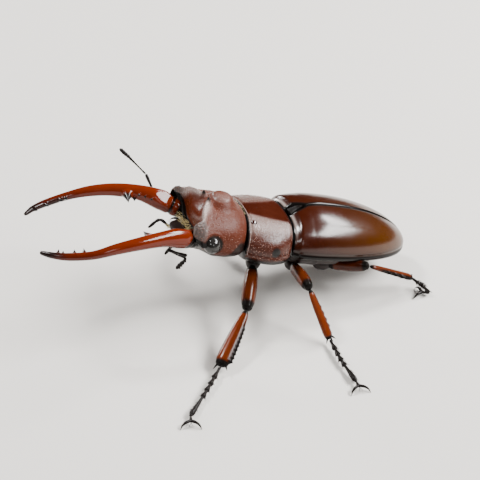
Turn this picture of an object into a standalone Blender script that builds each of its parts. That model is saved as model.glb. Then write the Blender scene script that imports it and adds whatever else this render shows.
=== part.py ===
"""A male two-spotted saw stag beetle at life size, standing still on six feet.

The body is drawn in its own frame, in millimetres: the origin is on the mid line where the
pronotum meets the wing cases, +Z is up from the side margins, the head looks along -Y and the
beetle's left is +X. The stance then pitches that frame nose-up and lifts it on to the floor,
z = 0. Each leg is worked out between its coxa and a foot that stands on the floor.
"""

import math

import bmesh
import bpy
from mathutils import Matrix, Vector

MM = 0.001
GAP = 0.32

# Stance
PITCH = math.radians(12.0)
LIFT = 12.716

# Wing cases
ELYTRA_LENGTH = 28.1
ELYTRA_HALF_WIDTH = 9.13
ELYTRA_SHOULDER = 8.38
ELYTRA_WIDEST = 6.24
ELYTRA_HEIGHT = 6.63
ELYTRA_FRONT_HEIGHT = 5.17
ELYTRA_HIGHEST = 7.0
ELYTRA_DROP = 1.59
ELYTRA_ROUNDNESS = 2.32
ELYTRA_EDGE = 0.7
ELYTRA_BOW = 1.05
# The front of each wing case turns down by this share of its height, over this share of its length
ELYTRA_FRONT_FALL = (0.16, 0.05)
ELYTRA_STATIONS = (0.0, 0.018, 0.05, 0.10, 0.145, 0.26, 0.40, 0.54, 0.67, 0.78, 0.87,
                   0.94, 0.98, 0.997)
SUTURE_HALF = 0.16

# Scutellum
SCUTELLUM_HALF_WIDTH = 1.9
SCUTELLUM_LENGTH = 3.1
SCUTELLUM_START = 1.35
SCUTELLUM_THICKNESS = 1.1
SCUTELLUM_CAMBER = 0.25
SCUTELLUM_SINK = 0.15

# Pronotum
PRONOTUM_LENGTH = 9.59
PRONOTUM_HALF_WIDTHS = (8.23, 9.42, 9.2, 7.92)
PRONOTUM_HEIGHTS = (5.30, 5.19, 5.26, 5.48)
PRONOTUM_KNOTS = (0.0, 0.35, 0.65, 1.0)
PRONOTUM_ROUNDNESS = 2.69
PRONOTUM_REAR_BULGE = 1.06
PRONOTUM_FRONT_HOLLOW = 1.16
PRONOTUM_SIDE_LEVEL = (-0.49, -0.14)
PRONOTUM_DEPTH = 4.6
PRONOTUM_REAR_SETBACK = 0.4
# The rims turn in by these shares at the rear and at the front, over this share of the length
PRONOTUM_RIM_FALL = (0.1, 0.07)
PRONOTUM_RIM_SPAN = 0.09
PRONOTUM_UNDER_WIDTH = 0.93
PRONOTUM_UNDER_STEP = 0.3

# Head: stations run forwards from the neck
HEAD_Y = (-9.95, -10.6, -12.2, -14.2, -16.8, -18.7, -20.0, -20.8)
HEAD_HALF_WIDTH = (6.6, 7.35, 8.0, 8.2, 8.15, 8.3, 7.7, 7.1)
HEAD_CROWN = (4.75, 5.25, 5.85, 6.35, 6.6, 6.35, 5.5, 4.75)
HEAD_SIDE_LEVEL = (0.5, 0.5, 0.7, 1.0, 1.4, 1.7, 1.9, 2.1)
HEAD_BELLY = (-2.6, -3.1, -3.4, -3.4, -3.0, -2.4, -1.6, -0.9)
HEAD_ROUNDNESS = 2.5
HEAD_NECK_BULGE = 1.1
HEAD_STATIONS = 15
HEAD_FACE_LEVEL = 0.7
BOSS_CENTRE_Y = -14.2
BOSS_RADIUS = (2.5, 1.7)
BOSS_HEIGHT = 1.35
HORNLET_TIP = (1.35, -16.75, 7.45)
HORNLET_HEIGHT = 1.6
HORNLET_RADIUS = 0.75
# The two ridges run from the hornlets to the front corners
HEAD_RIDGE_X = (3.3, 3.2, 2.9, 2.2, 1.45, 3.6, 5.2, 6.2)
RIDGE_HEIGHT = 0.8
RIDGE_WIDTH = 1.0
SCOOP_START_Y = -16.6
SCOOP_END_Y = -20.8
SCOOP_DEPTH = 2.9
SCOOP_RETREAT = 1.7

# Eyes
EYE_CENTRE = (7.75, -16.8, 1.95)
EYE_RADIUS = 1.62
EYE_GAP = 0.3

# Mandibles: centre line and half thickness, from the base to the tip
MANDIBLE_LINE = (
    (5.95, -21.2, 2.1, 1.7), (6.5, -22.6, 2.65, 2.0), (7.9, -26.6, 3.3, 1.5),
    (9.1, -31.3, 3.1, 1.25), (9.7, -35.8, 2.3, 1.05), (9.8, -40.1, 1.0, 0.8),
    (8.75, -44.4, -0.05, 0.62), (6.0, -48.85, -0.9, 0.12),
)
MANDIBLE_FLATTEN = 0.92
BASAL_TOOTH = ((8.7, -29.6, 3.0), (4.3, -30.2, 2.8), 1.0)
# Small teeth: place along the jaw, length and half thickness
DENTICLES = ((0.09, 0.7, 0.34), (0.145, 0.6, 0.3), (0.195, 0.7, 0.34))
TIP_TEETH = ((0.735, 1.0, 0.36), (0.79, 0.85, 0.33), (0.865, 1.0, 0.34), (0.925, 0.75, 0.3))

# Mouth
LABRUM_HALF_WIDTH = 2.9
LABRUM_Y = (-19.75, -22.1)
LABRUM_Z = (-0.2, 1.3)
PALP_LEFT = ((2.7, -21.2, -1.0), (3.5, -22.6, -1.0), (4.0, -23.9, -2.6))
PALP_RIGHT = ((-2.7, -21.2, -0.9), (-3.0, -23.4, 0.4), (-3.0, -25.3, -1.3))
PALP_RADII = (0.3, 0.34, 0.3)

# Feelers: insertion, elbow, start of the club and tip
FEELER_RIGHT = ((-7.7, -21.4, -0.4), (-12.5, -24.1, 4.5), (-14.0, -27.5, 7.2), (-14.0, -30.1, 9.3))
FEELER_LEFT = ((7.7, -21.4, -0.4), (6.2, -24.6, -0.2), (6.6, -20.9, -1.9), (6.0, -22.0, -4.7))
SCAPE_RADII = (0.36, 0.28, 0.38)
# The second piece starts past the elbow, by this many times its thickness and gap
ELBOW_REACH = 1.25
ELBOW_LEAN = 0.4
FUNICLE_RADIUS = 0.27
CLUB_RADIUS = 0.5
FEELER_FLATTEN = 0.88

# Underside
THORAX_SPAN = (1.0, 12.4)
ABDOMEN_SPAN = (12.75, 26.4)
UNDERSIDE_DROP = 1.05
UNDERSIDE_INSET = 1.6
THORAX_BELLY = -5.1
ABDOMEN_BELLY = (-4.7, -3.1)

# Legs: coxa centre, knee and ankle in the body frame, then the middle of the tarsus, its end and
# the place between the claws as x and y on the floor
LEGS = {
    "fore_left": ((3.6, -5.3, -4.4), (13.8, -9.4, -8.4), (22.4, -16.3, -15.0),
                  (28.2, -20.9), (32.4, -24.7), (34.2, -25.2)),
    "fore_right": ((-3.6, -5.3, -4.4), (-13.0, -9.2, -5.6), (-18.2, -9.0, -12.8),
                   (-21.0, -8.9), (-24.2, -8.6), (-26.2, -8.4)),
    "mid_left": ((3.7, 2.9, -5.0), (15.2, 1.3, -2.5), (20.7, 5.7, -10.6),
                 (27.0, 5.8), (32.6, 6.1), (34.8, 6.0)),
    "mid_right": ((-3.7, 2.9, -5.0), (-13.0, 4.0, -2.9), (-17.2, 8.4, -10.6),
                  (-20.8, 9.8), (-24.4, 11.6), (-26.2, 12.6)),
    "hind_left": ((3.7, 9.6, -5.0), (9.9, 16.2, -1.3), (9.5, 27.1, -4.4),
                  (11.2, 29.6), (12.7, 29.9), (12.0, 28.8)),
    "hind_right": ((-3.7, 9.6, -5.0), (-11.2, 14.8, -2.6), (-12.4, 24.0, -5.4),
                   (-14.2, 27.2), (-15.8, 29.2), (-17.2, 30.6)),
}
COXA_LENGTH = {"fore": 2.1, "mid": 1.9, "hind": 1.9}
COXA_THICKNESS = {"fore": 1.5, "mid": 1.3, "hind": 1.25}
# Femur: thickest half width, then the share of it at the root, a fifth, half, seven eighths and the knee
FEMUR_THICKNESS = {"fore": 1.5, "mid": 1.25, "hind": 1.12}
FEMUR_SHARES = ((0.0, 0.66), (0.2, 0.86), (0.5, 1.0), (0.86, 0.9), (1.0, 0.66))
KNEE_REACH = 0.75
TIBIA_THICKNESS = {"fore": (0.66, 1.02), "mid": (0.52, 0.7), "hind": (0.5, 0.66)}
# Spines on the outer edge of each tibia: how many, the span that they cover, and their length
TIBIA_SPINES = {"fore": (7, 0.24, 0.86, 0.5), "mid": (3, 0.42, 0.72, 0.55), "hind": (2, 0.48, 0.7, 0.5)}
SPINE_RADIUS = 0.3
SPUR_CLEARANCE = 0.3
# How far each spur at the end of the shin leans over, and how far it stands aside
SPUR_LEANS = (-0.55, 0.15, 0.75)
SPUR_SPREAD = 0.35
SPUR_LENGTH = {"fore": 1.7, "mid": 1.2, "hind": 1.1}
FEMUR_BOW = {"fore": 0.25, "mid": 0.2, "hind": -0.1}
LEG_FLATTEN = 0.84
TIBIA_FLATTEN = 0.72
TARSUS_RADII = (0.27, 0.4)
TARSUS_HEIGHT = 0.8
TARSUS_ARCH = 0.35
TARSUS_STEPS = 20
# Where each joint of the foot starts, as a share of its length, and where its rings lie within it
TARSUS_JOINTS = (0.0, 0.16, 0.31, 0.45, 0.59, 1.0)
TARSUS_RINGS = (0.06, 0.8, 0.97)
# The end of the shin, as shares of its half width, and the room that its spurs take
SHIN_END_REACH = 0.44
SHIN_END_RADIUS = 0.35
SPUR_ROOM = 0.25
CLAW_LENGTH = 2.3
CLAW_SPREAD = math.radians(54.0)
CLAW_RADII = (0.2, 0.27)
CLAW_HUB_RADIUS = 0.4
CLAW_SOLE = 0.22

# Round ends of a tube: how far each ring stands out, and its share of the radius
ROUND_END = ((0.0, 1.0), (0.55, 0.8))
SHARP_ANGLE = math.radians(50)

# Finish: colour, roughness and metallic value
FINISHES = {
    "head shell": ((0.20, 0.055, 0.032), 0.45, 0.0),
    "pronotum shell": ((0.20, 0.050, 0.030), 0.42, 0.0),
    "wing case": ((0.16, 0.030, 0.012), 0.22, 0.0),
    "jaw": ((0.30, 0.030, 0.008), 0.18, 0.0),
    "leg shell": ((0.24, 0.050, 0.012), 0.28, 0.0),
    "dark shell": ((0.018, 0.010, 0.008), 0.32, 0.0),
    "underside shell": ((0.05, 0.018, 0.011), 0.38, 0.0),
    "eye": ((0.008, 0.007, 0.007), 0.12, 0.0),
}


# ---------------------------------------------------------------- numbers and paths

def between(knots, values, at):
    """A smooth value at a place among knots, by a cubic through four of them."""
    rising = knots[-1] > knots[0]
    order = list(range(len(knots))) if rising else list(range(len(knots)))[::-1]
    xs = [knots[i] for i in order]
    ys = [values[i] for i in order]
    at = min(max(at, xs[0]), xs[-1])
    i = max(k for k in range(len(xs) - 1) if at >= xs[k])
    span = xs[i + 1] - xs[i]
    t = (at - xs[i]) / span

    def slope(k):
        if k <= 0:
            return (ys[1] - ys[0]) / (xs[1] - xs[0])
        if k >= len(xs) - 1:
            return (ys[-1] - ys[-2]) / (xs[-1] - xs[-2])
        return (ys[k + 1] - ys[k - 1]) / (xs[k + 1] - xs[k - 1])

    a = 2 * t ** 3 - 3 * t ** 2 + 1
    b = t ** 3 - 2 * t ** 2 + t
    return a * ys[i] + b * span * slope(i) + (1 - a) * ys[i + 1] + (t ** 3 - t ** 2) * span * slope(i + 1)


def ease(low, high, value):
    """0 below low, 1 above high and a smooth step between."""
    t = min(max((value - low) / (high - low), 0.0), 1.0)
    return t * t * (3 - 2 * t)


def smooth_path(points, steps):
    """Points along a smooth curve through the given ones, whatever their number of values."""
    lengths = [0.0]
    for first, second in zip(points, points[1:]):
        lengths.append(lengths[-1] + (Vector(second[:3]) - Vector(first[:3])).length)
    total = lengths[-1]
    path = []
    for step in range(steps):
        at = total * step / (steps - 1)
        path.append([between(lengths, [p[axis] for p in points], at) for axis in range(len(points[0]))])
    return path


def stand(point):
    """A point of the body frame, moved to the stance."""
    return Matrix.Rotation(-PITCH, 3, "X") @ Vector(point) + Vector((0, 0, LIFT))


def floor_point(x, y, height):
    """The standing point at a height over the floor, below or above body-frame x and y."""
    level = (y * math.sin(PITCH) - LIFT) / math.cos(PITCH)
    point = stand((x, y, level))
    return Vector((point.x, point.y, height))


# ---------------------------------------------------------------- meshes

def finish(name):
    """The material of that name, made once."""
    material = bpy.data.materials.get(name)
    if material is None:
        colour, roughness, metallic = FINISHES[name]
        material = bpy.data.materials.new(name)
        material.use_nodes = True
        shader = material.node_tree.nodes["Principled BSDF"]
        shader.inputs["Base Color"].default_value = (*colour, 1.0)
        shader.inputs["Roughness"].default_value = roughness
        shader.inputs["Metallic"].default_value = metallic
    return material


def add_object(name, bm, finish_name, parent, guide=False):
    """An object from a bmesh in millimetres."""
    bmesh.ops.remove_doubles(bm, verts=bm.verts, dist=1e-4)
    bmesh.ops.recalc_face_normals(bm, faces=bm.faces)
    bmesh.ops.scale(bm, vec=(MM, MM, MM), verts=bm.verts)
    mesh = bpy.data.meshes.new(name)
    bm.to_mesh(mesh)
    bm.free()
    mesh.shade_smooth()
    mesh.set_sharp_from_angle(angle=SHARP_ANGLE)
    mesh.materials.append(finish(finish_name))
    obj = bpy.data.objects.new(name, mesh)
    bpy.context.scene.collection.objects.link(obj)
    obj.parent = parent
    if guide:
        obj.hide_render = True
        obj.display_type = "WIRE"
    return obj


def loft(bm, rings, start_centre=None, end_centre=None):
    """Faces between rings of the same number of points; each end is one face, or a fan round a centre."""
    rows = [[bm.verts.new(point) for point in ring] for ring in rings]
    count = len(rows[0])
    for row, following in zip(rows, rows[1:]):
        for i in range(count):
            j = (i + 1) % count
            bm.faces.new((row[i], row[j], following[j], following[i]))
    for row, centre in ((rows[0][::-1], start_centre), (rows[-1], end_centre)):
        if centre is None:
            bm.faces.new(row)
        else:
            middle = bm.verts.new(centre)
            for i in range(count):
                bm.faces.new((row[i], row[(i + 1) % count], middle))


def frames_along(path, side):
    """A pair of cross directions at each point of a path; the first leans towards side."""
    frames = []
    for i, point in enumerate(path):
        before = Vector(path[max(i - 1, 0)][:3])
        after = Vector(path[min(i + 1, len(path) - 1)][:3])
        along = (after - before).normalized()
        across = (Vector(side) - along * Vector(side).dot(along)).normalized()
        frames.append((across, along.cross(across), along))
    return frames


def tube(bm, path, side, flatten=1.0, sides=8):
    """A tube along points of (x, y, z, radius), flattened across its second direction, with round ends."""
    frames = frames_along(path, side)
    rings = []
    last = len(path) - 1
    for i, (point, (across, over, along)) in enumerate(zip(path, frames)):
        radius = point[3]
        centre = Vector(point[:3])
        if i in (0, last):
            outward = along if i == last else -along
            for push, share in ROUND_END if i == last else ROUND_END[::-1]:
                rings.append(circle(centre + outward * radius * push, across, over, radius * share, flatten, sides))
        else:
            rings.append(circle(centre, across, over, radius, flatten, sides))
    loft(bm, rings)


def circle(centre, across, over, radius, flatten, sides):
    """Points of an ellipse round a centre."""
    points = []
    for k in range(sides):
        angle = 2 * math.pi * k / sides
        points.append(centre + across * radius * math.cos(angle) + over * radius * flatten * math.sin(angle))
    return points


def spike(bm, base, tip, radius, sides=4):
    """A pointed cone from a base that lies inside what it grows from."""
    along = (Vector(tip) - Vector(base)).normalized()
    across = along.orthogonal().normalized()
    ring = [bm.verts.new(p) for p in circle(Vector(base), across, along.cross(across), radius, 1.0, sides)]
    point = bm.verts.new(tip)
    bm.faces.new(ring[::-1])
    for i in range(sides):
        bm.faces.new((ring[i], ring[(i + 1) % sides], point))


def ellipsoid(bm, centre, along, length, thickness, segments=8, rings=6):
    """A ball stretched along a direction."""
    along = Vector(along).normalized()
    turn = Vector((0, 0, 1)).rotation_difference(along).to_matrix().to_4x4()
    place = Matrix.Translation(Vector(centre)) @ turn @ Matrix.Diagonal((thickness, thickness, length, 1.0))
    bmesh.ops.create_uvsphere(bm, u_segments=segments, v_segments=rings, radius=1.0, matrix=place)


def combine(obj, other, operation):
    """A Boolean of obj with a guide object."""
    modifier = obj.modifiers.new(operation.title(), "BOOLEAN")
    modifier.operation = operation
    modifier.solver = "EXACT"
    modifier.use_self = True
    modifier.object = other


# ---------------------------------------------------------------- wing cases and scutellum

def elytra_half_width(y):
    if y > ELYTRA_WIDEST:
        t = (y - ELYTRA_WIDEST) / (ELYTRA_LENGTH - ELYTRA_WIDEST)
        return ELYTRA_HALF_WIDTH * math.sqrt(max(1 - t ** 2.3, 0.0))
    t = (ELYTRA_WIDEST - y) / ELYTRA_WIDEST
    return ELYTRA_HALF_WIDTH - (ELYTRA_HALF_WIDTH - ELYTRA_SHOULDER) * t ** 2


def elytra_height(y):
    if y > ELYTRA_HIGHEST:
        t = (y - ELYTRA_HIGHEST) / (ELYTRA_LENGTH - ELYTRA_HIGHEST)
        return ELYTRA_HEIGHT * math.sqrt(max(1 - t ** 2.1, 0.0))
    t = (ELYTRA_HIGHEST - y) / ELYTRA_HIGHEST
    return ELYTRA_HEIGHT - (ELYTRA_HEIGHT - ELYTRA_FRONT_HEIGHT) * t ** 2


def elytra_margin(y):
    return -ELYTRA_DROP * max(y / ELYTRA_LENGTH, 0.0) ** 1.5


def scutellum_half(y):
    """Half width of the scutellum at y."""
    return SCUTELLUM_HALF_WIDTH * max(1 - (y - SCUTELLUM_START) / SCUTELLUM_LENGTH, 0.0) ** 0.85


def elytron(parent, side):
    """One wing case: a domed shell from the suture to the side margin, closed below."""
    rings = []
    for station in ELYTRA_STATIONS:
        fall, span = ELYTRA_FRONT_FALL
        shoulder = 1 - fall * (1 - ease(0.0, span, station))
        y_mid = station * ELYTRA_LENGTH
        width = elytra_half_width(y_mid) * (0.7 + 0.3 * shoulder)
        height = elytra_height(y_mid) * shoulder
        level = elytra_margin(y_mid)
        edge = ELYTRA_EDGE * min(1.0, width / 3.5)
        inner = SUTURE_HALF
        if y_mid < SCUTELLUM_START + SCUTELLUM_LENGTH:
            inner = max(inner, scutellum_half(max(y_mid, SCUTELLUM_START)) + GAP)
        ring = []
        for k in range(11):
            angle = math.pi / 2 * (1 - k / 10)
            x = inner + (width - inner) * math.cos(angle) ** (2 / ELYTRA_ROUNDNESS)
            z = level + height * math.sin(angle) ** (2 / ELYTRA_ROUNDNESS)
            ring.append((x, z))
        ring.append((width - 0.12 * edge, level - 0.5 * edge))
        ring.append((max(width - 1.0 * edge, inner), level - edge))
        ring.append((inner, level - edge))
        bow = ELYTRA_BOW * (1 - station)
        points = [Vector((side * x, y_mid + bow * (1 - (x / ELYTRA_HALF_WIDTH) ** 2), z)) for x, z in ring]
        rings.append(points)
    bm = bmesh.new()
    loft(bm, rings)
    add_object("elytron_left" if side > 0 else "elytron_right", bm, "wing case", parent)


def scutellum(parent):
    """The small triangular plate between the bases of the wing cases."""
    rings = []
    for k in range(6):
        y = SCUTELLUM_START + SCUTELLUM_LENGTH * 0.94 * k / 5
        half = scutellum_half(y)
        top = elytra_height(y) * (0.86 + 0.12 * ease(1.0, 3.2, y)) - SCUTELLUM_SINK
        bottom = top - SCUTELLUM_THICKNESS
        bow = SCUTELLUM_CAMBER * half / SCUTELLUM_HALF_WIDTH
        rings.append([
            Vector((-half, y, bottom)), Vector((half, y, bottom)), Vector((half, y, top - bow)),
            Vector((0.5 * half, y, top - 0.25 * bow)), Vector((-0.5 * half, y, top - 0.25 * bow)),
            Vector((-half, y, top - bow)),
        ])
    bm = bmesh.new()
    loft(bm, rings)
    add_object("scutellum", bm, "dark shell", parent)


# ---------------------------------------------------------------- pronotum

def pronotum(parent):
    """The shield over the front legs, with its rounded underside."""
    rings = []
    stations = (0.0, 0.03, 0.1, 0.25, 0.45, 0.65, 0.82, 0.92, 0.97, 1.0)
    top_steps = 14
    for t in stations:
        rear = PRONOTUM_RIM_FALL[0] * (1 - ease(0.0, PRONOTUM_RIM_SPAN, t))
        front = PRONOTUM_RIM_FALL[1] * (1 - ease(0.0, PRONOTUM_RIM_SPAN, 1 - t))
        end = 1 - rear - front
        width = between(PRONOTUM_KNOTS, PRONOTUM_HALF_WIDTHS, t) * (0.65 + 0.35 * end)
        height = between(PRONOTUM_KNOTS, PRONOTUM_HEIGHTS, t) * end
        level = PRONOTUM_SIDE_LEVEL[0] * (1 - t) + PRONOTUM_SIDE_LEVEL[1] * t
        depth = PRONOTUM_DEPTH * (1 - 0.18 * t) * end
        outline = []
        for k in range(top_steps + 1):
            angle = math.pi * k / top_steps
            c, s = math.cos(angle), math.sin(angle)
            x = width * math.copysign(abs(c) ** (2 / PRONOTUM_ROUNDNESS), c)
            outline.append((x, level + height * abs(s) ** (2 / PRONOTUM_ROUNDNESS)))
        for k in range(1, 7):
            angle = math.pi * (1 + k / 7)
            c, s = math.cos(angle), math.sin(angle)
            drop = PRONOTUM_UNDER_STEP + (depth - PRONOTUM_UNDER_STEP) * abs(s) ** 1.1
            outline.append((PRONOTUM_UNDER_WIDTH * width * c, level - drop))
        points = []
        for x, z in outline:
            middle = 1 - min(abs(x) / width, 1.0) ** 2
            bend = PRONOTUM_REAR_BULGE * (1 - t) + PRONOTUM_FRONT_HOLLOW * t
            y = -PRONOTUM_LENGTH * t + bend * middle - PRONOTUM_REAR_SETBACK * (1 - t)
            points.append(Vector((x, y, z)))
        rings.append(points)
    rear_centre = Vector((0, PRONOTUM_REAR_BULGE - PRONOTUM_REAR_SETBACK, 0))
    front_centre = Vector((0, PRONOTUM_FRONT_HOLLOW - PRONOTUM_LENGTH, 0))
    bm = bmesh.new()
    loft(bm, rings, rear_centre, front_centre)
    return add_object("pronotum", bm, "pronotum shell", parent)


# ---------------------------------------------------------------- head

def head_surface(x, y):
    """Height of the top of the head: a dome, the boss of the crown, two hornlets and the front scoop."""
    width = between(HEAD_Y, HEAD_HALF_WIDTH, y)
    level = between(HEAD_Y, HEAD_SIDE_LEVEL, y)
    crown = between(HEAD_Y, HEAD_CROWN, y)
    u = min(abs(x) / width, 1.0)
    z = level + (crown - level) * (1 - u ** HEAD_ROUNDNESS) ** (1 / HEAD_ROUNDNESS)
    across, along = BOSS_RADIUS
    z += BOSS_HEIGHT * math.exp(-((x / across) ** 2 + ((y - BOSS_CENTRE_Y) / along) ** 2) ** 1.5)
    t = (y - SCOOP_START_Y) / (SCOOP_END_Y - SCOOP_START_Y)
    if t > 0:
        t = min(t, 1.0)
        ridge_x = between(HEAD_Y, HEAD_RIDGE_X, y)
        z += RIDGE_HEIGHT * ease(0.0, 0.5, t) * math.exp(-((abs(x) - ridge_x) / RIDGE_WIDTH) ** 2)
        z -= SCOOP_DEPTH * ease(0.0, 0.9, t) * max(1 - (abs(x) / ridge_x) ** 2.4, 0.0)
    return z


def head(parent):
    """The broad head, from the neck to the front face that carries the jaws."""
    rings = []
    for station in range(HEAD_STATIONS):
        share = station / (HEAD_STATIONS - 1)
        y = HEAD_Y[0] + (HEAD_Y[-1] - HEAD_Y[0]) * (0.75 * share + 0.25 * (1 - (1 - share) ** 2))
        width = between(HEAD_Y, HEAD_HALF_WIDTH, y)
        level = between(HEAD_Y, HEAD_SIDE_LEVEL, y)
        belly = between(HEAD_Y, HEAD_BELLY, y)
        outline = []
        ridge_x = between(HEAD_Y, HEAD_RIDGE_X, y)
        flank = [ridge_x + (width - ridge_x) * math.cos(math.pi / 2 * k / 6) for k in range(6)]
        crest = [ridge_x * (1 - k / 4) for k in range(9)]
        for x in flank + crest + [-x for x in flank[::-1]]:
            outline.append((x, head_surface(x, y)))
        for k in range(1, 8):
            angle = math.pi * (1 + k / 8)
            c, s = math.cos(angle), math.sin(angle)
            outline.append((width * c, level + (belly - level) * abs(s) ** 1.15))
        points = []
        for x, z in outline:
            back = HEAD_NECK_BULGE * (1 - (x / width) ** 2) * (1 - share) ** 2
            front = SCOOP_RETREAT * (1 - (x / width) ** 2) * ease(0.7, 1.0, share)
            points.append(Vector((x, y + back + front, z)))
        rings.append(points)
    bm = bmesh.new()
    neck = Vector((0, HEAD_Y[0] + HEAD_NECK_BULGE, HEAD_FACE_LEVEL))
    face = Vector((0, HEAD_Y[-1] + SCOOP_RETREAT, HEAD_FACE_LEVEL))
    loft(bm, rings, neck, face)
    shell = add_object("head", bm, "head shell", parent)
    cutter = bmesh.new()
    for side in (-1, 1):
        centre = (side * EYE_CENTRE[0], EYE_CENTRE[1], EYE_CENTRE[2])
        ellipsoid(cutter, centre, (0, 0, 1), EYE_RADIUS + EYE_GAP, EYE_RADIUS + EYE_GAP, 10, 7)
    combine(shell, add_object("eye socket cutter", cutter, "eye", parent, guide=True), "DIFFERENCE")
    combine(shell, jaw_socket_cutter(parent), "DIFFERENCE")
    horns = bmesh.new()
    for side in (-1, 1):
        foot_z = HORNLET_TIP[2] - HORNLET_HEIGHT
        spike(horns, (side * HORNLET_TIP[0] * 0.95, HORNLET_TIP[1] + 0.35, foot_z),
              (side * HORNLET_TIP[0], HORNLET_TIP[1], HORNLET_TIP[2]), HORNLET_RADIUS, 6)
    combine(shell, add_object("hornlets", horns, "head shell", parent, guide=True), "UNION")


def eye(parent, side):
    bm = bmesh.new()
    centre = (side * EYE_CENTRE[0], EYE_CENTRE[1], EYE_CENTRE[2])
    ellipsoid(bm, centre, (0, 0, 1), EYE_RADIUS, EYE_RADIUS, 10, 7)
    add_object("eye_left" if side > 0 else "eye_right", bm, "eye", parent)


def labrum(parent):
    """The upper lip, a small rounded plate between the jaws."""
    rings = []
    for k in range(4):
        t = k / 3
        y = LABRUM_Y[0] + (LABRUM_Y[1] - LABRUM_Y[0]) * t
        half = LABRUM_HALF_WIDTH * (1 - 0.35 * t ** 2)
        low, high = LABRUM_Z
        high = high - 0.5 * t
        middle = (low + high) / 2
        ring = []
        for step in range(10):
            angle = 2 * math.pi * step / 10
            ring.append(Vector((half * math.cos(angle), y, middle + (high - low) / 2 * math.sin(angle))))
        rings.append(ring)
    bm = bmesh.new()
    loft(bm, rings)
    add_object("labrum", bm, "underside shell", parent)


def palp(parent, name, line):
    bm = bmesh.new()
    path = smooth_path([(*point, radius) for point, radius in zip(line, PALP_RADII)], 7)
    tube(bm, path, (1, 0, 0), 1.0, 5)
    add_object(name, bm, "dark shell", parent)


# ---------------------------------------------------------------- jaws and feelers

def jaw_socket_cutter(parent):
    """The hollows in the front of the head that hold the roots of the jaws."""
    bm = bmesh.new()
    for side in (-1, 1):
        line = [(side * x, y, z, radius + GAP) for x, y, z, radius in MANDIBLE_LINE[:2]]
        tube(bm, smooth_path(line, 3), (0, 0, 1), MANDIBLE_FLATTEN, 10)
    return add_object("jaw socket cutter", bm, "dark shell", parent, guide=True)


def mandible(parent, side):
    """One long curved jaw with its basal tooth, small teeth and the teeth near the tip."""
    line = [(side * x, y, z, radius) for x, y, z, radius in MANDIBLE_LINE]
    path = smooth_path(line, 17)
    bm = bmesh.new()
    tube(bm, path, (0, 0, 1), MANDIBLE_FLATTEN, 10)
    name = "mandible_left" if side > 0 else "mandible_right"
    jaw = add_object(name, bm, "jaw", parent)
    teeth = bmesh.new()
    root, tip, radius = BASAL_TOOTH
    spike(teeth, (side * root[0], root[1], root[2]), (side * tip[0], tip[1], tip[2]), radius, 6)
    fine = smooth_path(line, 201)
    for place, length, radius in DENTICLES + TIP_TEETH:
        centre = fine[round(place * 200)]
        ahead = Vector(fine[round(place * 200) + 1][:3]) - Vector(centre[:3])
        inward = ahead.cross(Vector((0, 0, side))).normalized()
        inward = -inward if inward.x * side > 0 else inward
        inward = (inward + Vector((0, -0.15, 0.25))).normalized()
        start = Vector(centre[:3]) + inward * centre[3] * 0.35
        spike(teeth, start, Vector(centre[:3]) + inward * (centre[3] + length), radius + 0.05)
    combine(jaw, add_object(name + " teeth", teeth, "jaw", parent, guide=True), "UNION")


def feeler(parent, name, points):
    """An elbowed feeler in two pieces: the long first joint, then the thin joints and the club."""
    root, elbow, club, tip = (Vector(p) for p in points)
    bm = bmesh.new()
    ends = [root, root.lerp(elbow, 0.55), elbow]
    tube(bm, smooth_path([(*p, r) for p, r in zip(ends, SCAPE_RADII)], 6), (0, 1, 0), 1.0, 6)
    add_object("scape_" + name, bm, "dark shell", parent)
    onward = (club - elbow).normalized()
    inwards = (elbow - root).normalized()
    turn = (onward + inwards * ELBOW_LEAN).normalized()
    start = elbow + turn * ELBOW_REACH * (SCAPE_RADII[-1] * 2 + GAP)
    line = [
        (*start, FUNICLE_RADIUS), (*start.lerp(club, 0.6), FUNICLE_RADIUS),
        (*club.lerp(start, 0.12), FUNICLE_RADIUS + 0.03), (*club.lerp(tip, 0.25), CLUB_RADIUS * 0.9),
        (*club.lerp(tip, 0.65), CLUB_RADIUS), (*club.lerp(tip, 0.9), CLUB_RADIUS * 0.7),
    ]
    bm = bmesh.new()
    tube(bm, smooth_path(line, 9), (1, 0, 0), FEELER_FLATTEN, 6)
    add_object("feeler_" + name, bm, "dark shell", parent)


# ---------------------------------------------------------------- underside

def underside(parent, name, span, bellies, cutters):
    """A keel-like body below the wing cases."""
    rings = []
    for k in range(8):
        t = k / 7
        y = span[0] + (span[1] - span[0]) * t
        end = 1 - 0.22 * (1 - ease(0.0, 0.14, t)) - 0.3 * (1 - ease(0.0, 0.16, 1 - t))
        half = (elytra_half_width(y) - UNDERSIDE_INSET) * (0.6 + 0.4 * end)
        top = elytra_margin(y) - UNDERSIDE_DROP
        belly = top + (bellies[0] + (bellies[1] - bellies[0]) * t - top) * end
        ring = [Vector((half, y, top)), Vector((-half, y, top))]
        for step in range(1, 10):
            angle = math.pi * (1 + step / 10)
            c, s = math.cos(angle), math.sin(angle)
            ring.append(Vector((half * c, y, top - 0.25 + (belly - top + 0.25) * abs(s) ** 1.1)))
        rings.append(ring)
    bm = bmesh.new()
    loft(bm, rings)
    body = add_object(name, bm, "underside shell", parent)
    for cutter in cutters:
        combine(body, cutter, "DIFFERENCE")


# ---------------------------------------------------------------- legs

def leg_joints(name):
    """Coxa, knee and ankle of a leg as it stands."""
    return [stand(point) for point in LEGS[name][:3]]


def next_start(end, radius_end, joint, along, radius_start):
    """Where the next piece starts along its own direction, so that the round ends keep the gap."""
    reach = radius_end + radius_start + GAP
    offset = joint - end
    b = offset.dot(along)
    c = offset.length_squared - reach ** 2
    return joint + along * max(-b + math.sqrt(max(b * b - c, 0.0)), 0.0)


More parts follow.
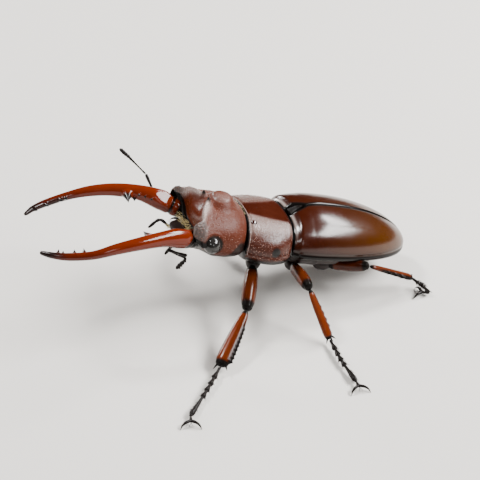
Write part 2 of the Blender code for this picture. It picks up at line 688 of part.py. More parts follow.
def femur_path(name, extra=0.0):
    """Points and half widths along a femur, from the coxa to the knee."""
    pair = name.split("_")[0]
    coxa, knee, ankle = leg_joints(name)
    thigh = (knee - coxa).normalized()
    thick = FEMUR_THICKNESS[pair]
    start = coxa + thigh * (COXA_LENGTH[pair] + GAP + 0.55 * FEMUR_SHARES[0][1] * thick)
    end = knee - thigh * 0.5
    line = []
    for place, share in FEMUR_SHARES:
        rise = FEMUR_BOW[pair] * math.sin(math.pi * place)
        line.append((*(start.lerp(end, place) + Vector((0, 0, rise))), thick * share + extra))
    return smooth_path(line, 7)


def leg(name, parent):
    """Coxa, femur, tibia with its spines and spurs, tarsus and claws."""
    pair = name.split("_")[0]
    coxa, knee, ankle = leg_joints(name)
    thigh = (knee - coxa).normalized()
    shin = (ankle - knee).normalized()

    bm = bmesh.new()
    ellipsoid(bm, coxa, thigh, COXA_LENGTH[pair], COXA_THICKNESS[pair])
    add_object("coxa_" + name, bm, "underside shell", parent)

    femur = femur_path(name)
    bm = bmesh.new()
    tube(bm, femur, (0, 0, 1), LEG_FLATTEN, 8)
    add_object("femur_" + name, bm, "leg shell", parent)

    thin, wide = TIBIA_THICKNESS[pair]
    end = Vector(femur[-1][:3])
    start = next_start(end, KNEE_REACH * femur[-1][3], knee, shin, KNEE_REACH * thin)
    end = ankle - shin * (wide * 0.6)
    line = [
        (*start, thin * 0.9), (*start.lerp(end, 0.12), thin), (*start.lerp(end, 0.55), (thin + wide) / 2),
        (*start.lerp(end, 0.9), wide), (*end, wide * 0.8),
    ]
    path = smooth_path(line, 6)
    bm = bmesh.new()
    outer = tibia_outer_side(name, shin)
    tube(bm, path, outer, TIBIA_FLATTEN, 8)
    shin_piece = add_object("tibia_" + name, bm, "leg shell", parent)
    spines = bmesh.new()
    count, low, high, length = TIBIA_SPINES[pair]
    fine = smooth_path(line, 101)
    for k in range(count):
        centre = fine[round(100 * (low + (high - low) * k / max(count - 1, 1)))]
        aim = (outer + shin * 0.55).normalized()
        spike(spines, Vector(centre[:3]) + outer * centre[3] * 0.3,
              Vector(centre[:3]) + outer * centre[3] * 0.8 + aim * length, SPINE_RADIUS)
    over = shin.cross(outer)
    for lean in SPUR_LEANS:
        aim = (shin + outer * lean + over * SPUR_SPREAD * math.copysign(1, lean)).normalized()
        root = end + outer * lean * wide * 0.6
        tip = root + aim * SPUR_LENGTH[pair]
        tip.z = max(tip.z, SPUR_CLEARANCE)
        spike(spines, root, tip, SPINE_RADIUS)
    guide = add_object("tibia spines " + name, spines, "leg shell", parent, guide=True)
    combine(shin_piece, guide, "UNION")
    return end, shin, wide


def tibia_outer_side(name, shin):
    """The level direction across the shin, on the edge that faces backwards."""
    across = shin.cross(Vector((0, 0, 1))).normalized()
    outward = Vector((0.4 if "left" in name else -0.4, 1, 0))
    return across if across.dot(outward) > 0 else -across


def foot(name, parent, end, shin, wide):
    """The five tarsomeres and the pair of claws, whose tips stand on the floor."""
    ankle = leg_joints(name)[2]
    middle, wrist, toe = (floor_point(x, y, TARSUS_HEIGHT) for x, y in LEGS[name][3:])
    towards = (middle - ankle).normalized()
    shin_end = end + shin * wide * SHIN_END_REACH
    start = next_start(shin_end, SHIN_END_RADIUS * wide + SPUR_ROOM, ankle, towards, TARSUS_RADII[0])
    middle.z += TARSUS_ARCH * max(start.z - TARSUS_HEIGHT, 0.0)
    line = smooth_path([(*key, 0.0) for key in (start, middle, wrist)], TARSUS_STEPS)
    thin, thick = TARSUS_RADII
    path = []
    for low, high in zip(TARSUS_JOINTS, TARSUS_JOINTS[1:]):
        for share, radius in zip(TARSUS_RINGS, (thin, thick, thick * 0.85)):
            at = (low + (high - low) * share) * (len(line) - 1)
            i = min(int(at), len(line) - 2)
            point = Vector(line[i][:3]).lerp(Vector(line[i + 1][:3]), at - i)
            path.append((*point, radius))
    bm = bmesh.new()
    tube(bm, path, (0, 0, 1), 1.0, 5)
    add_object("tarsus_" + name, bm, "dark shell", parent)

    heading = (toe - wrist).normalized()
    hub = Vector(path[-1][:3]) + heading * (thick * 1.4 + GAP + CLAW_HUB_RADIUS)
    hub.z = TARSUS_HEIGHT
    keys = []
    for turn in (-1, 1):
        aim = Matrix.Rotation(turn * CLAW_SPREAD, 3, "Z") @ heading
        rise = hub + aim * CLAW_LENGTH * 0.5
        rise.z = TARSUS_HEIGHT + 0.12
        tip = hub + aim * CLAW_LENGTH + heading * CLAW_LENGTH * 0.1
        tip.z = CLAW_RADII[0]
        keys += [(*tip, CLAW_RADII[0]), (*rise, CLAW_RADII[1])][::-turn]
    keys.insert(2, (*hub, CLAW_HUB_RADIUS))
    path = smooth_path(keys, 11)
    bm = bmesh.new()
    claw_pair(bm, path)
    add_object("claws_" + name, bm, "dark shell", parent)


def claw_pair(bm, path):
    """Two curved claws as one bent tube, each ending in a small flat on the floor."""
    frames = frames_along(path, (0, 0, 1))
    rings = []
    for point, (across, over, along) in zip(path, frames):
        rings.append(circle(Vector(point[:3]), across, over, point[3], 1.0, 6))
    for end in (0, -1):
        along = frames[end][2]
        sole = Vector((path[end][0], path[end][1], 0.0))
        level = Vector((along.x, along.y, 0)).normalized()
        forward = level if end == -1 else -level
        over = frames[end][1]
        rings[end] = circle(sole, forward, over, CLAW_SOLE, 1.0, 6)
    loft(bm, rings)


# ---------------------------------------------------------------- the whole beetle

def socket_cutter(parent, pair):
    """Hollows in the underside round the coxae and the femora of one pair of legs."""
    bm = bmesh.new()
    for name in (pair + "_left", pair + "_right"):
        coxa, knee, ankle = leg_joints(name)
        ellipsoid(bm, coxa, knee - coxa, COXA_LENGTH[pair] + GAP, COXA_THICKNESS[pair] + GAP)
        tube(bm, femur_path(name, GAP)[:-1], (0, 0, 1), LEG_FLATTEN, 8)
    return add_object("leg cutter " + pair, bm, "dark shell", parent, guide=True)


def centre_on_floor(root):
    """Moves the model so that its origin is the middle of its box, on the floor."""
    bpy.context.view_layer.update()
    corners = []
    for obj in bpy.context.scene.objects:
        if obj.type == "MESH" and not obj.hide_render:
            corners += [obj.matrix_world @ vertex.co for vertex in obj.data.vertices]
    low = [min(c[axis] for c in corners) for axis in range(3)]
    high = [max(c[axis] for c in corners) for axis in range(3)]
    root.location = (-(low[0] + high[0]) / 2, -(low[1] + high[1]) / 2, 0.0)


def main():
    for obj in list(bpy.data.objects):
        bpy.data.objects.remove(obj, do_unlink=True)
    root = bpy.data.objects.new("beetle", None)
    bpy.context.scene.collection.objects.link(root)
    body = bpy.data.objects.new("body frame", None)
    bpy.context.scene.collection.objects.link(body)
    body.parent = root
    body.rotation_euler = (-PITCH, 0, 0)
    body.location = (0, 0, LIFT * MM)

    for side in (-1, 1):
        elytron(body, side)
        mandible(body, side)
        eye(body, side)
    scutellum(body)
    cutters = {pair: socket_cutter(root, pair) for pair in ("fore", "mid", "hind")}
    combine(pronotum(body), cutters["fore"], "DIFFERENCE")
    head(body)
    labrum(body)
    palp(body, "palp_left", PALP_LEFT)
    palp(body, "palp_right", PALP_RIGHT)
    feeler(body, "left", FEELER_LEFT)
    feeler(body, "right", FEELER_RIGHT)
    underside(body, "thorax", THORAX_SPAN, (THORAX_BELLY, THORAX_BELLY), (cutters["mid"], cutters["hind"]))
    underside(body, "abdomen", ABDOMEN_SPAN, ABDOMEN_BELLY, (cutters["hind"],))
    for name in LEGS:
        foot(name, root, *leg(name, root))
    centre_on_floor(root)


main()
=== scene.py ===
# %% [markdown]
# # A stag beetle at life size
#
# This lesson dresses a solid model of a stag beetle. The solids carry the size, the stance and
# the collision; here each plate, leg and feeler is made again as a fine surface with its own
# finish. A beetle is a suit of hard plates, so nothing is blended into one skin: every plate is
# a piece, and the pieces meet at narrow joints, as they do on the animal.

import math

import bmesh
import bpy
import numpy as np
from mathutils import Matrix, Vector


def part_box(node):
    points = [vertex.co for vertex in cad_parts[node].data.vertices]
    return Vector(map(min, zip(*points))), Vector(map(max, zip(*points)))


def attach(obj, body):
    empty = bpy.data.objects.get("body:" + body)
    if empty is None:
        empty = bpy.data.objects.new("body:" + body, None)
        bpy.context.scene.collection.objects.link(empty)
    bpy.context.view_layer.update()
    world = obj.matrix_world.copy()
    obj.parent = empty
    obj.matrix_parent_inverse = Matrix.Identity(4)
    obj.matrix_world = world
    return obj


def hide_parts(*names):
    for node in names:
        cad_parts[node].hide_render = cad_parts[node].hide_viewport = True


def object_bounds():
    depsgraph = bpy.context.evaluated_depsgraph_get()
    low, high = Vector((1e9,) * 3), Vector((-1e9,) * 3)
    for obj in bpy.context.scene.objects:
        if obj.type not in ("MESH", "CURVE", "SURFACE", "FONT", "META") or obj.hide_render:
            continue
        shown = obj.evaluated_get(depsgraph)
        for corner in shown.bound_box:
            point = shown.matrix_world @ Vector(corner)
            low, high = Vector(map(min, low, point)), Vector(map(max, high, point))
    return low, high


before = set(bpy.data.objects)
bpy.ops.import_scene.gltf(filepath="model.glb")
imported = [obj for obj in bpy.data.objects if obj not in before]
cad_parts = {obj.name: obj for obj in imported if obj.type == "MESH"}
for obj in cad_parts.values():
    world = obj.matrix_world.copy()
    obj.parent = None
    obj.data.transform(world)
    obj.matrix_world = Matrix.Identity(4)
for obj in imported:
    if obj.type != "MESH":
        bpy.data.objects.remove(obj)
cad_low, cad_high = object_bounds()
MM = 0.001
print("solids:", len(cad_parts), "box in mm:", [round((h - l) / MM, 1) for l, h in zip(cad_low, cad_high)])

# %% [markdown]
# ## The body frame
#
# The solids were drawn in the beetle's own frame, in millimetres, and then pitched head-up and
# lifted on to its feet. Working in that frame keeps the left and right sides alike and the
# numbers small. One function turns it into the world, and the eye tells how far the whole model
# was shifted over the floor.

# %% From the body to the world
PITCH, LIFT, UP = math.radians(12.0), 12.716, (0, 0, 1)
EYE_CENTRE = np.array((7.75, -16.8, 1.95))


def pitched(points):
    """Body points in mm, turned and lifted into the stance."""
    x, y, z = np.moveaxis(np.asarray(points, float), -1, 0)
    c, s = math.cos(PITCH), math.sin(PITCH)
    return np.stack((x, y * c + z * s, z * c - y * s + LIFT), -1)


eye_low, eye_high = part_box("eye_left")
SHIFT = (np.array(eye_low) + np.array(eye_high)) / 2 / MM - pitched(EYE_CENTRE)
SHIFT[2] = 0.0
print("shift over the floor in mm:", SHIFT.round(3))


def placed(points, in_body=True):
    """World places in metres of points in mm, of the body or already standing."""
    return ((pitched(points) if in_body else np.asarray(points, float)) + SHIFT) * MM


# %% [markdown]
# ## Smooth numbers
#
# A beetle's outline is a handful of widths and heights with a smooth curve through them. The
# same cubic that shapes the solids is used here for whole arrays at once, so the fine surfaces
# land on the solids, only smoother.

# %% Curves through a few numbers
def between(knots, values, at):
    """Smooth values at places among knots."""
    xs, ys = np.asarray(knots, float), np.asarray(values, float)
    if xs[-1] < xs[0]:
        xs, ys = xs[::-1], ys[::-1]
    at = np.clip(at, xs[0], xs[-1])
    i = np.clip(np.searchsorted(xs, at, side="right") - 1, 0, len(xs) - 2)
    slope = np.empty_like(ys)
    slope[0] = (ys[1] - ys[0]) / (xs[1] - xs[0])
    slope[-1] = (ys[-1] - ys[-2]) / (xs[-1] - xs[-2])
    slope[1:-1] = (ys[2:] - ys[:-2]) / (xs[2:] - xs[:-2])
    span = xs[i + 1] - xs[i]
    t = (at - xs[i]) / span
    a = 2 * t ** 3 - 3 * t ** 2 + 1
    ahead = (t ** 3 - 2 * t ** 2 + t) * span * slope[i]
    behind = (t ** 3 - t ** 2) * span * slope[i + 1]
    return a * ys[i] + ahead + (1 - a) * ys[i + 1] + behind


def ease(low, high, value):
    """0 below low, 1 above high and a smooth step between."""
    t = np.clip((value - low) / (high - low), 0.0, 1.0)
    return t * t * (3 - 2 * t)


def bell(offset, width):
    """A smooth bump, 1 in the middle."""
    return np.exp(-((offset / width) ** 2))


def most(*masks):
    """The strongest of several masks at each point."""
    strongest = masks[0]
    for mask in masks[1:]:
        strongest = np.maximum(strongest, mask)
    return strongest


def unit(vectors):
    """Vectors of length one."""
    vectors = np.asarray(vectors, float)
    return vectors / np.linalg.norm(vectors, axis=-1, keepdims=True)


def power_arc(angle, roundness):
    """Places across and up on a superellipse of half width and height 1."""
    c, s = np.cos(angle), np.sin(angle)
    return np.sign(c) * np.abs(c) ** (2 / roundness), np.abs(s) ** (2 / roundness)


def lengths_along(path):
    """How far along a path each of its points lies."""
    return np.concatenate(([0.0], np.cumsum(np.linalg.norm(np.diff(path[:, :3], axis=0), axis=1))))


def smooth_path(points, steps):
    """Rows along a smooth curve through the given (x, y, z, half thickness)."""
    points = np.asarray(points, float)
    lengths = lengths_along(points)
    at = np.linspace(0.0, lengths[-1], steps)
    return np.stack([between(lengths, column, at) for column in points.T], -1)


def rod(points, radii, steps):
    """A smooth path through points, each with its half thickness."""
    return smooth_path([(*point, radius) for point, radius in zip(points, radii)], steps)


print("half way from 0 to 1:", float(ease(0.0, 1.0, 0.5)))

# %% [markdown]
# ## Skins from rows of points
#
# Most plates are a grid: rows from one end of the plate to the other, each row a ring round it.
# A closed ring and a fan of faces over each end make a closed body with its faces outward. Any
# mask, such as how dark an edge is, is stored on the same grid as a named attribute, which the
# materials read back.

# %% Build a skin
def keep_mark(mesh, name, values, kind="FLOAT"):
    """Stores numbers, or vectors, on the points of a mesh."""
    field = "value" if kind == "FLOAT" else "vector"
    mesh.attributes.new(name, kind, "POINT").data.foreach_set(field, np.asarray(values, np.float32).ravel())


def stacked(rows):
    """Rings and their masks as arrays, from one (ring, masks) pair for each row."""
    rings, masks = zip(*rows)
    return np.array(rings), {name: np.array([row[name] for row in masks]) for name in masks[0]}


def ball_rings(radii, rows, columns, pole):
    """Rings of an ellipsoid, from an angle pole below its top to the same above its bottom."""
    tilt = np.linspace(pole, math.pi - pole, rows)[:, None]
    turn = np.linspace(0, 2 * math.pi, columns, endpoint=False)[None, :]
    x, y, z = np.sin(tilt) * np.cos(turn), np.sin(tilt) * np.sin(turn), np.cos(tilt) + 0 * turn
    return np.stack((x, y, z), -1) * radii


def skin(name, finish, grid, marks=None, centres=None):
    """A closed piece from rows of rings of points in mm, with a centre for the fan at each end."""
    rows, columns = grid.shape[:2]
    if centres is None:
        centres = (grid[0].mean(0), grid[-1].mean(0))
    points = np.concatenate((grid.reshape(-1, 3), np.asarray(centres, float)))
    index = np.arange(rows * columns).reshape(rows, columns)
    after = np.roll(index, -1, axis=1)
    first = np.full(columns, rows * columns)
    faces = np.stack((index[:-1], after[:-1], after[1:], index[1:]), -1).reshape(-1, 4).tolist()
    faces += np.stack((after[0], index[0], first), -1).tolist()
    faces += np.stack((index[-1], after[-1], first + 1), -1).tolist()
    mesh = bpy.data.meshes.new(name)
    mesh.from_pydata([tuple(point) for point in placed(points)], [], faces)
    for mark, values in (marks or {}).items():
        keep_mark(mesh, mark, np.append(values, (values[0].mean(), values[-1].mean())))
    return as_piece(name, mesh, finish)


def as_piece(name, mesh, finish):
    """An object at the origin with its faces outward and smooth."""
    bm = bmesh.new()
    bm.from_mesh(mesh)
    bmesh.ops.recalc_face_normals(bm, faces=bm.faces)
    bm.to_mesh(mesh)
    bm.free()
    mesh.shade_smooth()
    mesh.name = name
    mesh.materials.clear()
    mesh.materials.append(finish)
    piece = bpy.data.objects.new(name, mesh)
    bpy.context.scene.collection.objects.link(piece)
    return piece


def dress(piece, slot, *nodes):
    """Gives a piece its place in the frame."""
    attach(piece, "root")
    if nodes:
        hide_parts(*nodes)
    print(piece.name, len(piece.data.polygons), "faces")
    return piece


# %% [markdown]
# ## Node trees in few words
#
# Finishes and tubes are both built from nodes. A few helpers keep their trees short enough to
# read: one adds a node and feeds its inputs with numbers, colours or other nodes, and one opens
# a group with named inputs and outputs.

# %% Helpers for node trees
def feed(tree, node, values):
    """Sets inputs of a node to plain values and colours, or links other nodes to them."""
    for key, value in values.items():
        if isinstance(value, bpy.types.Node):
            value = value.outputs[0]
        if isinstance(value, bpy.types.NodeSocket):
            tree.links.new(value, node.inputs[key])
        else:
            node.inputs[key].default_value = (*value, 1.0) if node.inputs[key].type == "RGBA" else value
    return node


def add_node(tree, kind, values=None, **settings):
    """A new node with its settings and inputs."""
    made = tree.nodes.new(kind)
    for key, value in settings.items():
        setattr(made, key, value)
    return feed(tree, made, values or {})


def maths(tree, operation, *values, clamp=False):
    """The output of one Math node."""
    values = dict(enumerate(values))
    return add_node(tree, "ShaderNodeMath", values, operation=operation, use_clamp=clamp).outputs[0]


def mixed(tree, share, a, b):
    """A mix of two colours."""
    return add_node(tree, "ShaderNodeMix", {0: share, 6: a, 7: b}, data_type="RGBA").outputs[2]


def spread(tree, value, low, high):
    """0 where the value is low, 1 where it is high."""
    return add_node(tree, "ShaderNodeMapRange", {0: value, 1: low, 2: high}).outputs[0]


def pattern(tree, kind, **values):
    """A cloud or cell texture laid over the object itself."""
    place = add_node(tree, "ShaderNodeTexCoord").outputs["Object"]
    return add_node(tree, "ShaderNodeTex" + kind, {"Vector": place, **values})


def new_group(name, kind, inputs, outputs):
    """A node group with its (name, kind, value) inputs and its outputs, given by name and kind."""
    group = bpy.data.node_groups.new(name, kind)
    for title, sort, value in inputs:
        socket = group.interface.new_socket(title, in_out="INPUT", socket_type="NodeSocket" + sort)
        if value is not None:
            socket.default_value = value
    for title, sort in outputs:
        group.interface.new_socket(title, in_out="OUTPUT", socket_type="NodeSocket" + sort)
    return group, group.nodes.new("NodeGroupInput").outputs, group.nodes.new("NodeGroupOutput")


def new_finish(name, values):
    """A new material with its tree and its surface shader, some of whose inputs are set."""
    material = bpy.data.materials.new(name)
    material.use_nodes = True
    tree = material.node_tree
    return material, tree, feed(tree, tree.nodes["Principled BSDF"], values)


# %% [markdown]
# ## Shader groups for insect shell
#
# Shell is never quite even. Two effects come back on every plate: a grain of fine pits and
# granules, and a slow drift of colour. Each is a small node group with named inputs, built once
# and placed in each material with its own values. The groups give only heights and masks, and
# the surface shader itself stays in the material.

# %% The grain group
def grain_group():
    """Pits and granules: a height for bump, and a mask of the highest grains."""
    group, ins, outs = new_group(
        "shell grain", "ShaderNodeTree",
        (("Grain Size", "Float", 0.0002), ("Pit Size", "Float", 0.0006), ("Pit Share", "Float", 0.5)),
        (("Height", "Float"), ("Peaks", "Float")))
    fine, coarse = (maths(group, "DIVIDE", 1.0, ins[size]) for size in ("Grain Size", "Pit Size"))
    grains = pattern(group, "Noise", Scale=fine, Detail=3.0, Roughness=0.6)
    cells = pattern(group, "Voronoi", Scale=coarse)
    pits = maths(group, "MULTIPLY", spread(group, cells, 0.0, 0.35), ins["Pit Share"])
    feed(group, outs, {"Height": maths(group, "ADD", grains.outputs[0], pits),
                       "Peaks": spread(group, grains, 0.56, 0.72)})
    return group


SHELL_GRAIN = grain_group()
print("grain group sockets:", [item.name for item in SHELL_GRAIN.interface.items_tree])


# %% The drift group
def drift_group():
    """A slow change over the plate, from 0 to 1."""
    group, ins, outs = new_group("shell drift", "ShaderNodeTree", (("Patch Size", "Float", 0.004),),
                                 (("Drift", "Float"),))
    scale = maths(group, "DIVIDE", 1.0, ins["Patch Size"])
    cloud = pattern(group, "Noise", Scale=scale, Detail=4.0, Roughness=0.55)
    feed(group, outs, {"Drift": spread(group, cloud, 0.3, 0.7)})
    return group


SHELL_DRIFT = drift_group()


# %% [markdown]
# ## One recipe for every plate
#
# All plates share a build: a base colour that runs from a main to a second shade by a stored
# mask, a drift towards a third, a pale colour on the highest grains that is partly dust and
# partly painted sheen and painted highlight, black where the plate's edge is dark, and the grain
# as bump. On the shield's crown and on the thighs the second shade is a painted shade. What
# differs from plate to plate is a short list of numbers, so a recipe function takes them and
# returns the material. A thin coat over the shell gives the wet gloss of the wing cases.

# %% The shell recipe
DARK = (0.005, 0.004, 0.0035)
# How far the drift changes colour and roughness, how much glossier and calmer smooth shell is,
# and how much of the pale dust and painted sheen lies between the highest grains
DRIFT_COLOUR, DRIFT_ROUGH, SMOOTH_GLOSS, SMOOTH_CALM, DUST_AND_SHEEN_BETWEEN = 0.5, 0.08, 0.55, 0.85, 0.45


def shell_material(name, main, second, third, rough, grain, depth, coat=0.0, dark_rough=0.3, bloom=None,
                   shine=0.5, dark_shine=None):
    """Insect shell: three colours, roughness, (grain, pit, share of pits) in mm and bump depth in mm."""
    material, tree, shader = new_finish(
        name, {"Coat Weight": coat, "Coat Roughness": 0.1, "Specular IOR Level": shine})
    dark, rear, smooth, dust_and_sheen_mask = (add_node(tree, "ShaderNodeAttribute", attribute_name=mark).outputs["Fac"]
                                 for mark in ("dark", "rear", "smooth", "bloom"))
    drift = add_node(tree, "ShaderNodeGroup", node_tree=SHELL_DRIFT).outputs[0]
    grains = add_node(tree, "ShaderNodeGroup",
                      {"Grain Size": grain[0] * MM, "Pit Size": grain[1] * MM, "Pit Share": grain[2]},
                      node_tree=SHELL_GRAIN)
    base = mixed(tree, maths(tree, "MULTIPLY", drift, DRIFT_COLOUR), mixed(tree, rear, main, second), third)
    # A pale colour over the highest grains: partly dust, partly painted sheen and painted highlight
    if bloom is not None:
        peaks = maths(tree, "ADD", grains.outputs["Peaks"], DUST_AND_SHEEN_BETWEEN)
        base = mixed(tree, maths(tree, "MULTIPLY", dust_and_sheen_mask, peaks, clamp=True), base, bloom)
    uneven = maths(tree, "MULTIPLY_ADD", drift, DRIFT_ROUGH, rough - DRIFT_ROUGH / 2)
    plain = maths(tree, "ADD", uneven, maths(tree, "MULTIPLY", smooth, -SMOOTH_GLOSS * rough))
    calm = maths(tree, "SUBTRACT", 1.0, maths(tree, "MULTIPLY", smooth, SMOOTH_CALM))
    height = maths(tree, "MULTIPLY", grains.outputs["Height"], calm)
    bump = add_node(tree, "ShaderNodeBump", {"Height": height, "Strength": 1.0, "Distance": depth * MM})
    feed(tree, shader, {
        "Base Color": mixed(tree, dark, base, DARK), "Normal": bump,
        "Roughness": add_node(tree, "ShaderNodeMix", {0: dark, 2: plain, 3: dark_rough})})
    if dark_shine is not None:
        feed(tree, shader, {
            "Specular IOR Level": add_node(tree, "ShaderNodeMix", {0: dark, 2: shine, 3: dark_shine})})
    return material


# %% Finishes of the beetle
HEAD_SHELL = shell_material(
    "head shell", (0.068, 0.0135, 0.0052), (0.072, 0.0115, 0.0032), (0.092, 0.020, 0.009),
    0.38, (0.3, 0.5, 0.6), 0.07, bloom=(0.7, 0.6, 0.56), shine=0.16)
PRONOTUM_SHELL = shell_material(
    "pronotum shell", (0.042, 0.008, 0.003), (0.024, 0.0032, 0.0012), (0.056, 0.0115, 0.0048),
    0.26, (0.28, 0.45, 0.6), 0.05, bloom=(0.5, 0.4, 0.36), shine=0.32)
WING_SHELL = shell_material(
    "wing case shell", (0.024, 0.0035, 0.0012), (0.054, 0.0165, 0.0012), (0.033, 0.0068, 0.0014),
    0.2, (0.1, 0.3, 0.35), 0.008, coat=0.16, dark_rough=0.2, bloom=(0.6, 0.5, 0.46), shine=0.32, dark_shine=0.1)
JAW_SHELL = shell_material(
    "jaw shell", (0.1, 0.0095, 0.0014), (0.052, 0.004, 0.001), (0.125, 0.014, 0.0018),
    0.13, (0.2, 0.5, 0.3), 0.006, dark_rough=0.2, shine=0.28, dark_shine=0.2)
LEG_SHELL = shell_material(
    "leg shell", (0.105, 0.014, 0.0018), (0.026, 0.0036, 0.0012), (0.13, 0.024, 0.0022),
    0.2, (0.16, 0.35, 0.4), 0.01, dark_rough=0.24, shine=0.2, dark_shine=0.06)
BLACK_SHELL = shell_material(
    "black shell", (0.006, 0.0045, 0.004), (0.02, 0.008, 0.005), (0.010, 0.006, 0.005),
    0.34, (0.14, 0.3, 0.5), 0.02, shine=0.12, dark_rough=0.34)
BELLY_SHELL = shell_material(
    "belly shell", (0.010, 0.005, 0.004), (0.022, 0.006, 0.004), (0.016, 0.007, 0.005),
    0.4, (0.16, 0.4, 0.5), 0.02, shine=0.3)
BEAD_FINISH = shell_material(
    "bead", (0.016, 0.002, 0.001), (0.016, 0.002, 0.001), (0.03, 0.005, 0.002),
    0.05, (0.2, 0.5, 0.2), 0.002, shine=1.0)
print("finishes:", [material.name for material in bpy.data.materials])

# %% [markdown]
# ## The wing cases
#
# Each wing case is half of a long dome. Cut across at any place it is a superellipse, rounder
# than a box and fuller than a circle, and its width and height fall away to the rear by powers
# of the length. So the whole plate follows one rule and needs no modelling by hand. On top of
# the rule come the small things that catch the light: a raised bead along the outer margin with
# a groove above it, a bead at the base, and a dark welt at the suture where the two cases meet.
# A pale band along the base is a painted highlight on that bead, and the low flank above the
# margin is painted half dark as painted shade.

# %% Shape rules of the wing cases
WING_LENGTH, WING_HALF_WIDTH, WING_SHOULDER, WING_WIDEST = 28.1, 9.13, 8.38, 6.24
WING_HEIGHT, WING_FRONT_HEIGHT, WING_HIGHEST, WING_DROP = 6.63, 5.17, 7.0, 1.59
WING_ROUNDNESS, WING_EDGE, WING_BOW, SUTURE_HALF = 2.32, 0.7, 1.05, 0.16
PLATE_HALF, PLATE_LENGTH, PLATE_START, SEAM = 1.1, 2.45, 1.35, 0.12
# Rows of a case, and points of a ring over the dome, round the edge, along the floor and up the wall
WING_ROWS, WING_ARC, WING_TURN, WING_FLOOR, WING_WALL = 130, 84, 9, 7, 4
LAST_STATION = 0.9985


def dome_line(y, full, front, widest, power):
    """A measure that is full at its widest place, less in front and falling to nothing behind."""
    rear = np.clip((y - widest) / (WING_LENGTH - widest), 0.0, 1.0)
    before = np.clip((widest - y) / widest, 0.0, 1.0)
    return full * np.sqrt(1 - rear ** power) - (full - front) * before ** 2


def wing_half_width(y):
    return dome_line(y, WING_HALF_WIDTH, WING_SHOULDER, WING_WIDEST, 2.3)


def wing_height(y):
    return dome_line(y, WING_HEIGHT, WING_FRONT_HEIGHT, WING_HIGHEST, 2.1)


def wing_margin(y):
    return -WING_DROP * np.clip(y / WING_LENGTH, 0.0, None) ** 1.5


def plate_half(y):
    """Half width of the scutellum at y."""
    return PLATE_HALF * np.clip(1 - (y - PLATE_START) / PLATE_LENGTH, 0.0, None) ** 0.85


def wing_ring(side, station):
    """One ring, at a station from 0 at the base to 1 at the tip, with its masks."""
    y = station * WING_LENGTH
    shoulder = 1 - 0.16 * (1 - ease(0.0, 0.05, station)) + 0.02 * bell(station - 0.014, 0.010)
    width = float(wing_half_width(y) * (0.7 + 0.3 * shoulder))
    height, level = float(wing_height(y) * shoulder), float(wing_margin(y))
    inner = SUTURE_HALF
    if y < PLATE_START + PLATE_LENGTH:
        inner = max(inner, float(plate_half(max(y, PLATE_START))) + SEAM)
    across, up = power_arc(math.pi / 2 * (1 - np.linspace(0, 1, WING_ARC)), WING_ROUNDNESS)
    x, z = inner + (width - inner) * across, level + height * up
    rise, big = z - level, min(1.0, width / 5)
    x = x + big * (0.10 * bell(rise - 0.08, 0.2) - 0.13 * bell(rise - 0.55, 0.24))
    z = z - 0.10 * big * bell(x - inner - 0.05, 0.18) + 0.04 * bell(x - inner - 0.4, 0.2)

    # The edge turns under, runs back to the suture and closes with a wall
    edge, turn = WING_EDGE * min(1.0, width / 3.5), np.linspace(0, 1, WING_TURN + 1)[1:] * math.pi / 2
    under_x = width + 0.1 * big - edge * (1 - np.cos(turn)) * 0.9
    under_z = level - edge * np.sin(turn)
    floor_x = np.linspace(max(under_x[-1], inner), inner, WING_FLOOR + 1)[1:]
    wall_z = np.linspace(under_z[-1], z[0], WING_WALL + 2)[1:-1]
    x = np.concatenate((x, np.maximum(under_x, inner), floor_x, np.full(WING_WALL, inner)))
    z = np.concatenate((z, under_z, np.full(WING_FLOOR, under_z[-1]), wall_z))
    y -= 0.2 * (1 - float(ease(0.0, 0.08, station)))
    y = y + WING_BOW * (1 - station) * (1 - (x / WING_HALF_WIDTH) ** 2)
    rise = z - level
    seam = ease(0.66, 0.26, x - inner) * ease(0.0, 0.5, rise)
    return np.stack((side * x, y, z), -1), {
        # Painted shade: the low flank above the margin is half dark
        "dark": most(seam, ease(0.62, 0.36, rise), 0.5 * ease(1.9, 0.5, rise), ease(0.007, 0.003, station)),
        "rear": ease(0.05, 0.85, station) * (0.55 + 0.45 * ease(0.15, 0.8, x / width)),
        # Painted highlight: a pale band along the base
        "bloom": 0.9 * bell(station - 0.014, 0.007) * ease(8.0, 4.5, x) * ease(0.6, 1.2, rise)}


def close_at_ends(rows):
    """Shares from 0 to 1 that lie closer together near both ends."""
    return (1 - np.cos(np.linspace(0, math.pi, rows))) / 2


SIDES = ((1, "left"), (-1, "right"))
for side, word in SIDES:
    rings, marks = stacked([wing_ring(side, station) for station in LAST_STATION * close_at_ends(WING_ROWS)])
    dress(skin("wing_case_" + word, WING_SHELL, rings, marks), "wing_case", "elytron_" + word)

# %% [markdown]
# ## The scutellum
#
# A small triangle of shell sits between the bases of the wing cases. It is a short stack of
# rings that shrink to a point, with a low welt along both edges, which is what shows as a pale
# line when light rakes over it.

# %% The small triangle between the wing cases
PLATE_ROWS, PLATE_TOP, PLATE_UNDER, PLATE_THICKNESS = 40, 25, 9, 1.1


def plate_ring(t):
    """One ring, from 0 at the base to 1 at the point, with its mask."""
    y = PLATE_START + PLATE_LENGTH * t
    half = float(plate_half(y))
    top = float(wing_height(y)) * (0.86 + 0.12 * float(ease(1.0, 3.2, y))) - 0.15
    across = np.linspace(1, -1, PLATE_TOP)
    welt = 0.10 * bell(np.abs(across) - 0.84, 0.1) * min(1.0, half / 0.6)
    x = half * np.concatenate((across, np.linspace(-1, 1, PLATE_UNDER)))
    upper = top - 0.25 * across ** 2 * half / PLATE_HALF + welt
    z = np.concatenate((upper, np.full(PLATE_UNDER, top - PLATE_THICKNESS)))
    return np.stack((x, np.full(len(x), y), z), -1), {"dark": np.full(len(x), 0.55)}


rings, marks = stacked([plate_ring(t) for t in np.linspace(0, 0.97, PLATE_ROWS)])
dress(skin("scutellum_plate", BLACK_SHELL, rings, marks), "dark_shell", "scutellum")
